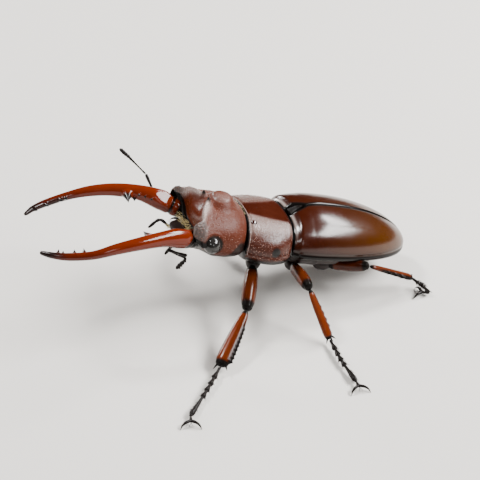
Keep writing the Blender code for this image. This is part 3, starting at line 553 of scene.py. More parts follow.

# %% [markdown]
# ## The pronotum
#
# The shield over the fore legs is broader than it is long. Its rows run from the rear edge to
# the front edge, and the ring at each row is a full superellipse above and a flatter curve
# below. Both edges carry a raised rim. The skin keeps a mask for its black parts, which are the
# underside, both rims and one round spot on each flank, and others for the smooth crown, whose
# darker colour is painted shade for the dim surrounding it mirrors, and for the grained sides,
# which carry a broad pale painted sheen, stronger on the left than on the right. A pale line
# along the front rim is a painted highlight.

# %% The shield behind the head
SHIELD_LENGTH, SHIELD_DEPTH, SHIELD_ROUNDNESS = 9.59, 4.6, 2.69
SHIELD_ROWS, SHIELD_ARC, SHIELD_UNDER = 120, 151, 60
SHIELD_KNOTS = (0, 0.35, 0.65, 1)
SHIELD_WIDTHS, SHIELD_HEIGHTS = (8.23, 9.42, 9.2, 7.92), (5.30, 5.19, 5.26, 5.48)
FLANK_SPOT = np.array((8.75, -4.15, 1.15))


def lower_half(count):
    """Angles of the points that close a ring below, between its two sides."""
    return math.pi * (1 + np.arange(1, count + 1) / (count + 1))


def shield_ring(t):
    """One ring, from 0 at the rear edge to 1 at the front one, with its masks."""
    rear, front = 0.1 * (1 - ease(0.0, 0.09, t)), 0.07 * (1 - ease(0.0, 0.09, 1 - t))
    end = 1 - rear - front + 0.016 * bell(t - 0.022, 0.014) + 0.02 * bell(t - 0.978, 0.014)
    width = float(between(SHIELD_KNOTS, SHIELD_WIDTHS, t)) * (0.65 + 0.35 * end)
    height = float(between(SHIELD_KNOTS, SHIELD_HEIGHTS, t)) * end
    level = -0.49 * (1 - t) - 0.14 * t
    depth = SHIELD_DEPTH * (1 - 0.18 * t) * end
    across, up = power_arc(np.linspace(0, math.pi, SHIELD_ARC), SHIELD_ROUNDNESS)
    x, z = width * across, level + height * up
    x = x * (1 + 0.02 * bell(z - level - 0.1, 0.25) - 0.012 * bell(z - level - 0.6, 0.3))
    angle = lower_half(SHIELD_UNDER)
    x = np.concatenate((x, 0.96 * width * np.cos(angle)))
    z = np.concatenate((z, level - 0.15 - (depth - 0.15) * np.abs(np.sin(angle)) ** 1.1))
    middle = 1 - np.clip(np.abs(x) / width, 0, 1) ** 2
    y = -SHIELD_LENGTH * t + (1.06 * (1 - t) + 1.16 * t) * middle - 0.4 * (1 - t)
    return np.stack((x, y, z), -1), shield_masks(t, x, y, z, level)


def shield_masks(t, x, y, z, level):
    """How dark, smooth and grained the shell is round one ring, and where its pale painted sheen and painted
    highlight lie.
    """
    out, upper = np.abs(x), z > level
    away = (np.stack((out, y, z), -1) - FLANK_SPOT) * (0.7, 1, 1)
    dark = most(ease(-0.5, -1.0, z - level), ease(0.024, 0.010, t), ease(0.984, 0.992, t),
                ease(1.2, 0.75, np.linalg.norm(away, axis=-1)))
    disc = 1.3 + 2.4 * (1 - t)
    # The left side is given more painted sheen and more grain than the right
    less = np.where(x > 0, 1.0, 0.4)
    smooth = 0.9 * ease(disc + 0.8, disc - 0.4, out) * upper
    # A pale painted sheen over the grained sides
    patch = 0.5 * less * ease(disc, disc + 1.0, out) * ease(7.5, 5.5, out) * upper
    rough = less * ease(disc, disc + 1.2, out) * (z > level - 0.4) * ease(0.02, 0.1, t)
    # The smooth crown also takes the darker second colour, a painted shade for the dim surrounding it mirrors
    return {"dark": dark, "smooth": smooth, "rear": smooth,
            # The pale patch is painted sheen, and the pale line along the front rim a painted highlight
            "bloom": np.maximum(patch, 0.9 * bell(t - 0.974, 0.007) * upper),
            "granular": np.clip(1 - 2 * dark, 0, 1) * rough}


rings, marks = stacked([shield_ring(t) for t in close_at_ends(SHIELD_ROWS)])
shield_centres = ((0, 0.66, 0), (0, 1.16 - SHIELD_LENGTH, 0))
SHIELD = dress(skin("pronotum_shield", PRONOTUM_SHELL, rings, marks, shield_centres),
               "pronotum_shell", "pronotum")

# %% [markdown]
# ## A bead on the shield
#
# This beetle carries one small glossy bead on the left of the shield, just behind its front rim.
# It could be pressed out of the shield's own grid, but a piece of its own keeps the edge crisp and
# takes a wetter finish: a flattened ball, sunk half-way into the shell and turned to lie along it.

# %% The bead
BEAD_PLACE, BEAD_RADII, BEAD_LEAN = (4.42, -7.8, 4.78), (0.52, 0.6, 0.3), math.radians(33.0)
x, y, z = np.moveaxis(ball_rings(BEAD_RADII, 20, 32, 0.05), -1, 0)
c, s = math.cos(BEAD_LEAN), math.sin(BEAD_LEAN)
bead = np.stack((x * c + z * s, y, z * c - x * s), -1) + BEAD_PLACE
dress(skin("shield_bead", BEAD_FINISH, bead), "pronotum_shell")

# %% [markdown]
# ## The head
#
# The head is the face of this beetle and gets the finest grid. Behind, it is a broad dome with
# a round boss on the crown. In front, a steep hollow runs down between two ridges, with a horned
# knob at the head of each ridge and a rough corner at its foot. A ledge of shell runs from each
# corner on to the eye. All of this is written as heights and pushes added to the dome, because a
# sum of bells keeps every form smooth and easy to move.

# %% The dome, the boss, the ridges and the hollow
# From the neck to the face: y, half width, crown, level of the sides, belly and place of the ridge
HEAD_ROWS = np.array((
    (-9.95, 7.1, 5.15, 0.5, -2.6, 3.3), (-10.6, 7.5, 5.7, 0.5, -3.1, 3.2), (-12.2, 8.0, 6.35, 0.7, -3.4, 2.9),
    (-14.2, 8.2, 6.6, 1.0, -3.4, 2.2), (-16.8, 8.15, 6.65, 1.4, -3.0, 1.45), (-18.7, 8.3, 6.35, 1.7, -2.4, 4.3),
    (-20.0, 7.7, 5.5, 1.9, -1.6, 5.6), (-20.8, 7.1, 4.75, 2.1, -0.9, 6.3)))
NECK_Y, FACE_Y = HEAD_ROWS[0, 0], HEAD_ROWS[-1, 0]
# Rings from neck to face, and points of a ring on a flank, between the ridges and below
HEAD_COUNT, HEAD_FLANK, HEAD_CREST, HEAD_UNDER = 160, 46, 90, 70
HOLLOW_START, HOLLOW_DEPTH, HOLLOW_RETREAT = -16.6, 2.9, 2.0
BOSS_Y, BOSS_HALF_WIDTH, BOSS_HALF_LENGTH, BOSS_HEIGHT = -13.8, 2.8, 2.4, 1.55
HORN_FOOT, HORN_REACH, HORN_HEIGHT, HORN_LEAN = (1.3, -16.55), 0.95, 1.25, 0.3
CORNER, KNOB, LEDGE_WIDTH = (6.35, -20.1), (7.0, -19.6), 0.42
MOUTH = np.array((0.0, 0.0, 0.7))
# How far the face shrinks and how far back it lies on each ring into the mouth
MOUTH_RINGS = ((0.975, 0.02), (0.95, 0.2), (0.93, 0.7), (0.9, 1.2), (0.6, 1.5), (0.2, 1.5))


def head_at(y):
    """Half width, crown, level, belly and place of the ridge at one y."""
    return [float(between(HEAD_ROWS[:, 0], column, y)) for column in HEAD_ROWS.T[1:]]


def crown_line(x, half_width, crown, level):
    """Height of the bare dome, from its level at the sides to the crown."""
    return level + (crown - level) * (1 - np.clip(np.abs(x) / half_width, 0, 1) ** 2.5) ** 0.4


def from_boss(x, y):
    """Distance from the middle of the boss, 1 at its foot."""
    return np.hypot(x / BOSS_HALF_WIDTH, (y - BOSS_Y) / BOSS_HALF_LENGTH)


def head_height(x, y):
    """Height of the top of the head at arrays of x for one y."""
    width, crown, level, _, ridge_x = head_at(y)
    boss = from_boss(x, y)
    z = crown_line(x, width, crown, level) + BOSS_HEIGHT * np.exp(-boss ** 5) - 0.06 * bell(boss - 0.8, 0.08)
    t = (y - HOLLOW_START) / (FACE_Y - HOLLOW_START)
    beyond = np.abs(x) - ridge_x
    ridge = 0.75 * bell(beyond, 1.0) + 0.24 * bell(beyond, 0.38) + 0.5 * bell(beyond - 1.3, 1.3)
    z = z + ease(-0.25, 0.35, t) * ridge
    return z - HOLLOW_DEPTH * ease(0.0, 0.9, t) * np.clip(1 - (np.abs(x) / ridge_x) ** 2.4, 0, None)


def head_ring(share):
    """One ring, from 0 at the neck to 1 at the face, with its masks."""
    y = NECK_Y + (FACE_Y - NECK_Y) * (0.75 * share + 0.25 * (1 - (1 - share) ** 2))
    width, _, level, belly, ridge_x = head_at(y)
    side = ridge_x + (width - ridge_x) * np.cos(math.pi / 2 * np.arange(HEAD_FLANK) / HEAD_FLANK)
    top = np.concatenate((side, ridge_x * np.linspace(1, -1, HEAD_CREST), -side[::-1]))
    angle = lower_half(HEAD_UNDER)
    x = np.concatenate((top, width * np.cos(angle)))
    tuck = 1.15 + 1.3 * float(ease(-15.4, -17.6, y))
    z = np.concatenate((head_height(top, y), level + (belly - level) * np.abs(np.sin(angle)) ** tuck))
    back = 1.1 * (1 - (x / width) ** 2) * (1 - share) ** 2
    inside = ease(0.93, 0.62, np.abs(x) / width)
    beside = 0.9 * ease(level + 1.6, level + 0.4, z) * ease(0.75, 0.95, np.abs(x) / width)
    ring = np.stack((x, y + back + (HOLLOW_RETREAT * inside + beside) * ease(0.7, 1.0, share), z), -1)
    shape_head_details(ring, level)
    return ring, head_masks(ring, share, level, ridge_x)


# %% Horned knobs, corners, the ledge over the eye and its socket
def shape_head_details(ring, level):
    """Pushes added to one ring of the head, in place."""
    x, y, z = ring.T.copy()
    out, side = np.abs(x), np.sign(x)
    upper = ease(level + 0.6, level + 1.8, z)
    horn = np.hypot(out - HORN_FOOT[0], y - HORN_FOOT[1])
    horn = np.clip(1 - horn / HORN_REACH, 0, None) ** 1.7 * upper
    ring[:, 2] += HORN_HEIGHT * horn
    ring[:, 1] -= HORN_LEAN * horn
    corner = np.hypot(out - CORNER[0], y - CORNER[1])
    ring[:, 2] += 0.65 * bell(corner, 0.95) * upper
    ring[:, 0] += 0.3 * side * bell(corner, 1.1) * upper
    rough = np.sin(6.1 * x + 1.3) * np.sin(7.3 * y) + np.sin(11.0 * x + 4.0 * y) * np.sin(9.0 * z)
    ring[:, 2] += 0.09 * rough * ease(1.9, 0.6, corner) * upper
    ledge = bell(z - level - 0.35, 0.5) * ease(-17.4, -18.6, y) * ease(-21.2, -20.3, y)
    ring[:, 0] += LEDGE_WIDTH * side * ledge
    away = np.stack((out, y, z), -1) - EYE_CENTRE
    reach = np.linalg.norm(away, axis=1)
    outward = away / np.maximum(reach, 0.01)[:, None]
    outward[:, 0] *= side
    ring += outward * (0.16 * bell(reach - 2.2, 0.26) - 0.34 * bell(reach - 1.72, 0.2))[:, None]


def head_masks(ring, share, level, ridge_x):
    """How dark, hollow, smooth and grained the shell is round one ring, and where pale dust and painted sheen
    lie.
    """
    x, y, z = np.abs(ring[:, 0]), ring[:, 1], ring[:, 2]
    reach = np.linalg.norm(np.stack((x, y, z), -1) - EYE_CENTRE, axis=1)
    socket = ease(2.15, 1.85, reach)
    ledge = ease(level + 1.5, level + 0.9, z) * ease(-17.8, -18.5, y) * (x > 5.5)
    horn = ease(0.55, 0.25, np.hypot(x - HORN_FOOT[0] - 0.02, y - HORN_FOOT[1] + 0.15)) * (z > level + 2)
    neck = ease(0.012, 0.004, share)
    # Painted shade: darker under the head, rising towards the neck where it meets the shield
    below = 0.9 * ease(level - 1.3, level - 2.1, z - 3.4 * ease(-14.0, -10.9, y))
    hollow = ease(0.97, 0.8, x / max(ridge_x, 0.1)) * ease(-16.9, -17.9, y) * (z > level - 1.2)
    lip = ease(0.955, 0.985, share) * ease(1.02, 0.9, x / ridge_x)
    crest = np.clip(1.4 * bell(x - ridge_x, np.where(x > ridge_x, 1.5, 0.5)), 0, 1)
    crest = crest * ease(-15.8, -17.4, y) * (z > level)
    corner = ease(1.9, 0.9, np.hypot(x - KNOB[0], y - KNOB[1])) * ease(level + 0.9, level + 1.4, z)
    boss = from_boss(x, y)
    dark = most(socket, ledge, horn, neck, below, lip, 0.75 * corner)
    bare = most(dark, hollow, ease(0.9, 0.75, boss), ease(level + 0.5, level - 1.0, z))
    grained = np.clip(1 - 1.5 * bare, 0, 1) * (0.35 + 0.65 * ease(-11.0, -16.0, y))
    return {"dark": dark, "rear": hollow, "smooth": 0.6 * most(hollow, ease(0.85, 0.7, boss)),
            # Pale crests, partly dust and partly painted sheen; the grey knob; and a painted highlight on the
            # near half of the boss
            "bloom": most(crest, 0.6 * corner, 0.2 * ease(0.8, 0.7, boss) * ease(-2.0, 1.0, ring[:, 0])),
            "granular": most(grained, corner)}


rows = [head_ring(share) for share in np.linspace(0, 1, HEAD_COUNT) ** 0.97]
rim, rim_masks = rows[-1]
inside = {name: np.full(len(rim), float(name == "dark")) for name in rim_masks}
for shrink, back in MOUTH_RINGS:
    rows.append(((rim - MOUTH) * (shrink, 1, shrink) + MOUTH + (0, back, 0), inside))
head_centres = ((0, NECK_Y + 1.1, 1.0), (0, FACE_Y + HOLLOW_RETREAT + MOUTH_RINGS[-1][1], MOUTH[2]))
HEAD = dress(skin("head_shell", HEAD_SHELL, *stacked(rows), head_centres), "head_shell", "head")

# %% [markdown]
# ## The eyes
#
# A stag beetle's eye is a dome of thousands of lenses, too fine to count from a hand's length
# away, so it reads as polished black with two small highlights. The facets are left to a fine
# cell pattern in the bump.

# %% Two black domes
EYE_RADIUS, LENS_SIZE, LENS_BUMP = 1.62, 0.09, 0.004
EYE_LENS, tree, shader = new_finish(
    "eye lens", {"Coat Weight": 0.25, "Coat Roughness": 0.03, "Specular IOR Level": 0.35})
cells = pattern(tree, "Voronoi", Scale=1 / (LENS_SIZE * MM))
feed(tree, shader, {
    "Base Color": mixed(tree, cells, (0.006, 0.006, 0.006), (0.02, 0.018, 0.016)),
    "Roughness": maths(tree, "MULTIPLY_ADD", cells, 0.1, 0.08),
    "Normal": add_node(tree, "ShaderNodeBump", {"Height": cells, "Distance": LENS_BUMP * MM})})

for side, word in SIDES:
    rings = ball_rings(np.full(3, EYE_RADIUS), 36, 56, 0.03) + EYE_CENTRE * (side, 1, 1)
    dress(skin("eye_dome_" + word, EYE_LENS, rings), "eye", "eye_" + word)

# %% [markdown]
# ## One tree for everything that follows a path
#
# Jaws, feelers, palps and every piece of a leg are tubes: a path, a thickness that changes along
# it, and a section that may be flattened. Geometry Nodes do this well. The tree below takes a
# chain of points that carry their thickness and their sideways direction, turns it into a curve,
# and sweeps a flattened circle along it. How far along each point lies is carried over as well,
# so that teeth and colours can be set by place afterwards.

# %% The limb tree
def new_tree(name, *inputs):
    """A geometry tree that takes a shape and a finish, and (name, kind, value) inputs of its own."""
    inputs = (("Geometry", "Geometry", None), *inputs, ("Finish", "Material", None))
    return new_group(name, "GeometryNodeTree", inputs, (("Geometry", "Geometry"),))


def finish_tree(tree, shape, ins, outs):
    """The end of every geometry tree: real faces in their finish."""
    real = add_node(tree, "GeometryNodeRealizeInstances", {"Geometry": shape})
    painted = add_node(tree, "GeometryNodeSetMaterial", {"Geometry": real, "Material": ins["Finish"]})
    feed(tree, outs, {"Geometry": painted})
    print(tree.name, len(tree.nodes), "nodes")
    return tree


def read_mark(tree, name, kind="FLOAT"):
    """A named attribute inside a geometry tree."""
    node = add_node(tree, "GeometryNodeInputNamedAttribute", {"Name": name}, data_type=kind)
    return node.outputs["Attribute"]


def limb_tree():
    tree, ins, outs = new_tree("limb along a path", ("Sides", "Int", 16), ("Flatten", "Float", 1.0))
    curve = add_node(tree, "GeometryNodeMeshToCurve", {"Mesh": ins["Geometry"]})
    curve = add_node(tree, "GeometryNodeSetCurveNormal",
                     {"Curve": curve, "Normal": read_mark(tree, "sideways", "FLOAT_VECTOR")}, mode="FREE")
    circle = add_node(tree, "GeometryNodeCurvePrimitiveCircle", {"Resolution": ins["Sides"], "Radius": 1.0})
    squeeze = add_node(tree, "ShaderNodeCombineXYZ", {"X": 1.0, "Y": ins["Flatten"], "Z": 1.0})
    section = add_node(tree, "GeometryNodeTransform", {"Geometry": circle, "Scale": squeeze})
    swept = add_node(tree, "GeometryNodeCurveToMesh",
                     {"Curve": curve, "Profile Curve": section, "Scale": read_mark(tree, "thickness"),
                      "Fill Caps": True})
    return finish_tree(tree, swept, ins, outs)


LIMB_TREE = limb_tree()


# %% Run a tree on a mesh
CAP_ROWS = 7
# Kind of limb: the solid it dresses, its finish and slot, how flat its section is and how many
# sides it has, and whether its path is drawn in the body frame
LIMB_KINDS = {
    "jaw": ("mandible", JAW_SHELL, "jaw", 0.92, 64, True),
    "scape_shell": ("scape", BLACK_SHELL, "dark_shell", 1.0, 14, True),
    "feeler_shell": ("feeler", BLACK_SHELL, "dark_shell", 0.86, 14, True),
    "palp_shell": ("palp", BLACK_SHELL, "dark_shell", 1.0, 14, True),
    "hip": ("coxa", BELLY_SHELL, "underside_shell", 1.0, 28, False),
    "thigh": ("femur", LEG_SHELL, "leg_shell", 0.84, 40, False),
    "shin": ("tibia", LEG_SHELL, "leg_shell", 0.72, 40, False),
    "foot": ("tarsus", BLACK_SHELL, "dark_shell", 1.0, 18, False),
    "claw_pair": ("claws", BLACK_SHELL, "dark_shell", 1.0, 14, False),
}


def grown(source, tree, **values):
    """The plain mesh that a tree makes of a source mesh, with its inputs set by identifier."""
    carrier = bpy.data.objects.new("carrier", source)
    bpy.context.scene.collection.objects.link(carrier)
    modifier = carrier.modifiers.new("grow", "NODES")
    modifier.node_group = tree
    keys = {item.name: item.identifier for item in tree.interface.items_tree if item.in_out == "INPUT"}
    for name, value in values.items():
        modifier[keys[name.replace("_", " ")]] = value
    bpy.context.view_layer.update()
    mesh = bpy.data.meshes.new_from_object(carrier.evaluated_get(bpy.context.evaluated_depsgraph_get()))
    carrier.modifiers.clear()
    bpy.data.objects.remove(carrier)
    return mesh


def numbers(items, field, each=1):
    """The numbers of one field of all items of a mesh."""
    values = np.empty(len(items) * each)
    items.foreach_get(field, values)
    return values.reshape(-1, each) if each > 1 else values


def chain(path, side):
    """Rows (x, y, z, half thickness) with rounded ends, how far along they lie, and their sideways."""
    path = np.asarray(path, float)
    lengths = lengths_along(path)
    turn = np.linspace(0.12, math.pi / 2 * 0.97, CAP_ROWS)[:, None]
    caps = []
    for end, neighbour in ((0, 1), (-1, -2)):
        thick, outward = path[end, 3], unit(path[end, :3] - path[neighbour, :3])
        places = path[end, :3] + outward * 0.6 * thick * np.sin(turn)
        caps.append(np.concatenate((places, thick * np.cos(turn)), 1))
    path = np.concatenate((caps[0][::-1], path, caps[1]))
    along = np.concatenate((np.zeros(CAP_ROWS), lengths / lengths[-1], np.ones(CAP_ROWS)))
    tangent = unit(np.gradient(path[:, :3], axis=0))
    across = unit(np.asarray(side, float) - tangent * (tangent @ np.asarray(side, float))[:, None])
    return path, along, across


def limb(kind, word, parts, reshape=None):
    """A dressed piece of one or more (path, side) tubes, reshaped by place if asked."""
    node, finish, slot, flatten, sides, in_body = LIMB_KINDS[kind]
    chains = [chain(path, side) for path, side in parts]
    rows, place, across = (np.concatenate(column) for column in zip(*chains))
    part = np.repeat(np.arange(len(chains)), [len(path) for path, _, _ in chains])
    source = bpy.data.meshes.new("chains")
    edges = [(i, i + 1) for i in range(len(rows) - 1) if part[i] == part[i + 1]]
    source.from_pydata([tuple(point) for point in rows[:, :3]], edges, [])
    for mark, values in (("along", place), ("thickness", rows[:, 3]), ("part", part)):
        keep_mark(source, mark, values)
    keep_mark(source, "sideways", across, "FLOAT_VECTOR")
    mesh = grown(source, LIMB_TREE, Sides=sides, Flatten=flatten, Finish=finish)
    points = numbers(mesh.vertices, "co", 3)
    if reshape:
        place, part = (numbers(mesh.attributes[mark].data, "value") for mark in ("along", "part"))
        axis, part = np.empty_like(points), part.round()
        for k, (path, along, _) in enumerate(chains):
            here = part == k
            axis[here] = np.stack([np.interp(place[here], along, column) for column in path[:, :3].T], -1)
        points, marks = reshape(points, place, axis, part)
        for mark, values in marks.items():
            keep_mark(mesh, mark, values)
    mesh.vertices.foreach_set("co", placed(points, in_body).ravel())
    dress(as_piece(f"{kind}_{word}", mesh, finish), slot, f"{node}_{word}")


# %% [markdown]
# ## The jaws
#
# The long jaws are the beetle's weapons: round at the root, a little flattened, bowed outwards
# and curved in at the tip. A narrow black collar pinches each one near its root, and in front of
# it the upper inner side is flat and shines like a small window. Each carries one strong tooth
# on its inner edge, a few grains before it, and four small teeth before the tip, which stand a
# little differently on the two sides. A tooth here is a push of the jaw's own surface along one
# direction, strongest at its middle and gone a little way round, so its foot flows into the jaw
# as a real tooth's does. The same push gives the mask that blackens it. The flat is the opposite:
# whatever stands proud of a plane is drawn back to it, with a soft edge.

# %% Two long jaws with their teeth
# From the root to the tip of the left jaw: x, y, z and half thickness
JAW_LINE = np.array((
    (4.75, -18.3, 1.3, 1.45), (5.3, -19.7, 1.7, 1.75), (5.95, -21.2, 2.1, 1.82),
    (6.5, -22.6, 2.65, 2.0), (7.9, -26.6, 3.3, 1.5), (9.1, -31.3, 3.1, 1.25),
    (9.7, -35.8, 2.3, 1.05), (9.8, -40.1, 1.0, 0.8), (8.75, -44.4, -0.05, 0.72),
    (7.55, -46.9, -0.52, 0.58), (6.5, -48.2, -0.8, 0.42), (6.15, -48.6, -0.87, 0.26)))
# How far forward each small tooth stands, its length and the reach of its foot
JAW_GRAINS = ((-24.4, 0.4, 0.36), (-25.6, 0.35, 0.34), (-26.7, 0.45, 0.38))
JAW_TEETH = {1: ((-41.5, 1.3, 0.6), (-43.2, 1.15, 0.56), (-45.2, 0.9, 0.42), (-46.0, 1.2, 0.5)),
             -1: ((-40.5, 1.0, 0.52), (-41.5, 1.3, 0.62), (-44.4, 1.25, 0.6), (-46.8, 1.0, 0.5))}
BASAL_ROOT, BASAL_TIP = np.array((8.6, -28.9, 3.1)), np.array((4.3, -29.6, 2.7))
BASAL_LENGTH, BASAL_FOOT = 2.6, 1.2
COLLAR_Y, COLLAR_DEPTH, ROOT_Y, JAW_STEPS = -20.6, 0.13, -22.0, 460
FLAT_PLACE, FLAT_AIM = np.array((6.4, -22.4, 2.6)), np.array((-0.69, 0.08, 0.72))
FLAT_RISE, FLAT_EDGE = 1.42, 0.14


def push_tooth(points, axis, spot, along, aim, length, foot):
    """Draws the surface out along aim, round the place of the axis at spot that faces that way."""
    face = unit(aim - along * (aim @ along))
    radial = points - axis
    thick = np.maximum(np.linalg.norm(radial, axis=1), 1e-6)
    ahead = np.linalg.norm(axis - spot, axis=1)
    round_off = thick * np.arccos(np.clip(radial @ face / thick, -1, 1))
    push = np.clip(1 - np.hypot(ahead, round_off) / foot, 0, None) ** 1.5
    return points + aim * (length * push)[:, None], push


def nearest(path, y):
    """The row of a path that comes nearest to y."""
    return int(np.abs(path[:, 1] - y).argmin())


def path_share(path, y):
    """How far along a path its y is reached."""
    lengths = lengths_along(path)
    return lengths[nearest(path, y)] / lengths[-1]


def jaw(side, word):
    """The jaw of one side; its teeth, collar, flat and black parts are set by place."""
    mirror = np.array((side, 1, 1))
    path = smooth_path(JAW_LINE * (*mirror, 1), JAW_STEPS)[:-3]

    def reshape(points, place, axis, part):
        new, dark = points.copy(), np.zeros(len(points))
        teeth = [(BASAL_ROOT[1], (BASAL_TIP - BASAL_ROOT) * mirror, BASAL_LENGTH, BASAL_FOOT),
                 (BASAL_ROOT[1] + 1.4, np.array((-side, -0.1, -0.5)), 0.9, 0.65)]
        for y, length, foot in JAW_GRAINS + JAW_TEETH[side]:
            i = nearest(path, y)
            inward = np.cross(path[i + 1, :3] - path[i, :3], (0, 0, side))
            inward = unit(inward if inward[0] * side < 0 else -inward)
            teeth.append((y, inward + (0, -0.15, 0.25), length, foot))
        for y, aim, length, foot in teeth:
            i = nearest(path, y)
            along = unit(path[i + 1, :3] - path[i, :3])
            new, push = push_tooth(new, axis, path[i, :3], along, unit(aim), length, foot)
            dark = most(dark, ease(0.06, 0.35, push))
        collar = bell(place - path_share(path, COLLAR_Y), 0.009)
        new = axis + (new - axis) * (1 - COLLAR_DEPTH * collar)[:, None]
        proud = (new - FLAT_PLACE * mirror) @ (FLAT_AIM * mirror) - FLAT_RISE
        proud = FLAT_EDGE * np.log1p(np.exp(proud / FLAT_EDGE))
        trim = ease(-20.9, -21.9, axis[:, 1]) * ease(-25.2, -23.0, axis[:, 1])
        new = new - FLAT_AIM * mirror * (proud * trim)[:, None]
        radial = points - axis
        turn = -side * radial[:, 0] / np.linalg.norm(radial, axis=1)
        root = place - path_share(path, ROOT_Y) + 0.008 * radial[:, 2]
        dark = most(dark, np.clip(1.3 * collar, 0, 1), ease(0.05, 0.035, place),
                    ease(0.3, -0.2, turn) * ease(0.010, -0.004, root),
                    0.85 * ease(0.1, 0.9, turn) * ease(0.62, 0.8, place),
                    0.93 * ease(0.84, 0.96, place + 0.04 * radial[:, 2]))
        return new, {"dark": dark, "rear": ease(0.35, 0.95, place)}

    limb("jaw", word, [(path, UP)], reshape)


for side, word in SIDES:
    jaw(side, word)

# %% [markdown]
# ## Feelers and palps
#
# A stag beetle's feeler is elbowed: one long smooth joint, then a row of small beads, and a club
# of short leaves that all point to one side. The beads need no modelling, only a thickness that
# swells and pinches along the path. The palps below the mouth are the same thing in three joints.

# %% Beads along a path
def joint_shares(joints, at):
    """How far through its joint each place along a limb lies."""
    joints = np.asarray(joints)
    k = np.clip(np.searchsorted(joints, at, side="right") - 1, 0, len(joints) - 2)
    return (at - joints[k]) / (joints[k + 1] - joints[k])


def beaded(points, radii, joints, steps, pinch):
    """A path whose thickness swells in each joint and pinches between them."""
    path = rod(points, radii, steps)
    share = joint_shares(joints, np.linspace(0, 1, steps))
    path[:, 3] *= pinch + (1 - pinch) * np.sin(np.pi * np.clip(share * 0.85 + 0.1, 0, 1)) ** 0.6
    return path


def feeler(word, *places):
    """A feeler from its root, its elbow and the two ends of its club."""
    root, elbow, club, tip = np.array(places)
    scape = rod((root, root * 0.9 + elbow * 0.1, root * 0.45 + elbow * 0.55, elbow * 0.93 + root * 0.07, elbow),
                (0.3, 0.3, 0.2, 0.32, 0.28), 60)
    limb("scape_shell", word, [(scape, (0, 1, 0))])
    onward, inwards = unit(club - elbow), unit(elbow - root)
    start = elbow + unit(onward + inwards * 0.4) * 0.35
    shaft = beaded((start, start * 0.5 + club * 0.5, club, club * 0.4 + tip * 0.6, tip * 0.9 + club * 0.1),
                   (0.23, 0.2, 0.32, 0.46, 0.36),
                   (0, 0.13, 0.22, 0.31, 0.4, 0.5, 0.62, 0.72, 0.82, 0.91, 1.0), 170, 0.55)
    parts = [(shaft, (1, 0, 0))]
    leafward = unit(np.cross(onward, (0.3, 0.2, 1)))
    for k in range(4):
        foot = club * (1 - 0.2 * k) + tip * 0.2 * k + (tip - club) * 0.1
        leaf = (foot, foot + leafward * 0.2 + onward * 0.12, foot + leafward * 0.36 + onward * 0.3)
        parts.append((rod(leaf, (0.2, 0.27, 0.2), 12), onward))
    limb("feeler_shell", word, parts)


feeler("right", (-7.7, -21.4, -0.4), (-12.5, -24.1, 4.5), (-14.0, -27.5, 7.2), (-14.0, -30.1, 9.3))
feeler("left", (7.7, -21.4, -0.4), (6.2, -24.6, -0.2), (6.6, -20.9, -1.9), (6.0, -22.0, -4.7))

# %% Palps
PALPS = {"left": ((1.7, -19.3, -0.75), (2.7, -21.2, -1.0), (3.5, -22.6, -1.0), (4.0, -23.9, -2.6)),
         "right": ((-1.7, -19.3, -0.75), (-2.7, -21.2, -0.9), (-3.0, -23.4, 0.4), (-3.0, -25.3, -1.3))}
for word, line in PALPS.items():
    path = beaded(line, (0.3, 0.28, 0.33, 0.3), (0, 0.3, 0.42, 0.65, 0.78, 1.0), 120, 0.5)
    limb("palp_shell", word, [(path, (1, 0, 0))])

# %% [markdown]
# ## The upper lip
#
# Between the jaws lies a small flat plate with a rounded front edge. It is the only plate of the
# mouth seen from above, and the golden brushes of the mouth grow out from under it.

# %% The lip plate
LIP_REAR, LIP_FRONT, LIP_HALF, LIP_BOTTOM, LIP_TOP = -19.75, -22.1, 2.9, -0.2, 1.3
t = np.linspace(0, 1, 40)[:, None]
angle = np.linspace(0, 2 * np.pi, 48, endpoint=False)[None, :]
round_end = np.sqrt(np.clip(1 - (np.abs(t - 0.5) / 0.5) ** 6, 0, 1)) * 0.97 + 0.03
high = LIP_TOP - 0.5 * t
x = LIP_HALF * (1 - 0.35 * t ** 2) * round_end * np.cos(angle)
y = LIP_REAR + (LIP_FRONT - LIP_REAR) * t + 0 * x
z = (LIP_BOTTOM + high) / 2 + (high - LIP_BOTTOM) / 2 * np.sin(angle) * round_end
dress(skin("lip_plate", BELLY_SHELL, np.stack((x, y, z), -1)), "underside_shell", "labrum")

# %% [markdown]
# ## The underside
#
# Below the wing cases hang two hard keels: the thorax, which carries the middle and hind legs,
# and the abdomen with its five plates. The plates overlap like tiles, each stepping in at its
# rear edge. The steps are part of the surface, since they catch light along the flank.

# %% Thorax and abdomen
BELLY_ROWS, BELLY_COLUMNS, STEP_LENGTH, STEP_DEPTH = 110, 72, 0.11, 0.16


def belly_rings(span, bellies, steps):
    """Rings of a keel under the wing cases; steps are the places where a plate ends."""
    t = np.linspace(0, 1, BELLY_ROWS)
    y = span[0] + (span[1] - span[0]) * t
    end = 1 - 0.22 * (1 - ease(0.0, 0.14, t)) - 0.3 * (1 - ease(0.0, 0.16, 1 - t))
    half = (wing_half_width(y) - 1.6) * (0.6 + 0.4 * end)
    top = wing_margin(y) - 1.05
    belly = top + (bellies[0] + (bellies[1] - bellies[0]) * t - top) * end
    angle = np.linspace(0, 2 * np.pi, BELLY_COLUMNS, endpoint=False)
    c, s = np.cos(angle)[None, :], np.sin(angle)[None, :]
    under = (top - 0.25)[:, None] - (top - 0.25 - belly)[:, None] * np.abs(s) ** 1.1
    groove = sum(STEP_DEPTH * ease(place - STEP_LENGTH, place, t) * (t <= place) for place in steps)
    deep = groove[:, None] * (s < 0)
    x = half[:, None] * c * (1 + 0.025 * deep / STEP_DEPTH)
    z = np.where(s < 0, under, top[:, None]) - deep * np.abs(s)
    return np.stack((x, np.repeat(y[:, None], BELLY_COLUMNS, 1), z), -1), {"rear": np.abs(s) * 0.4 + 0 * x}


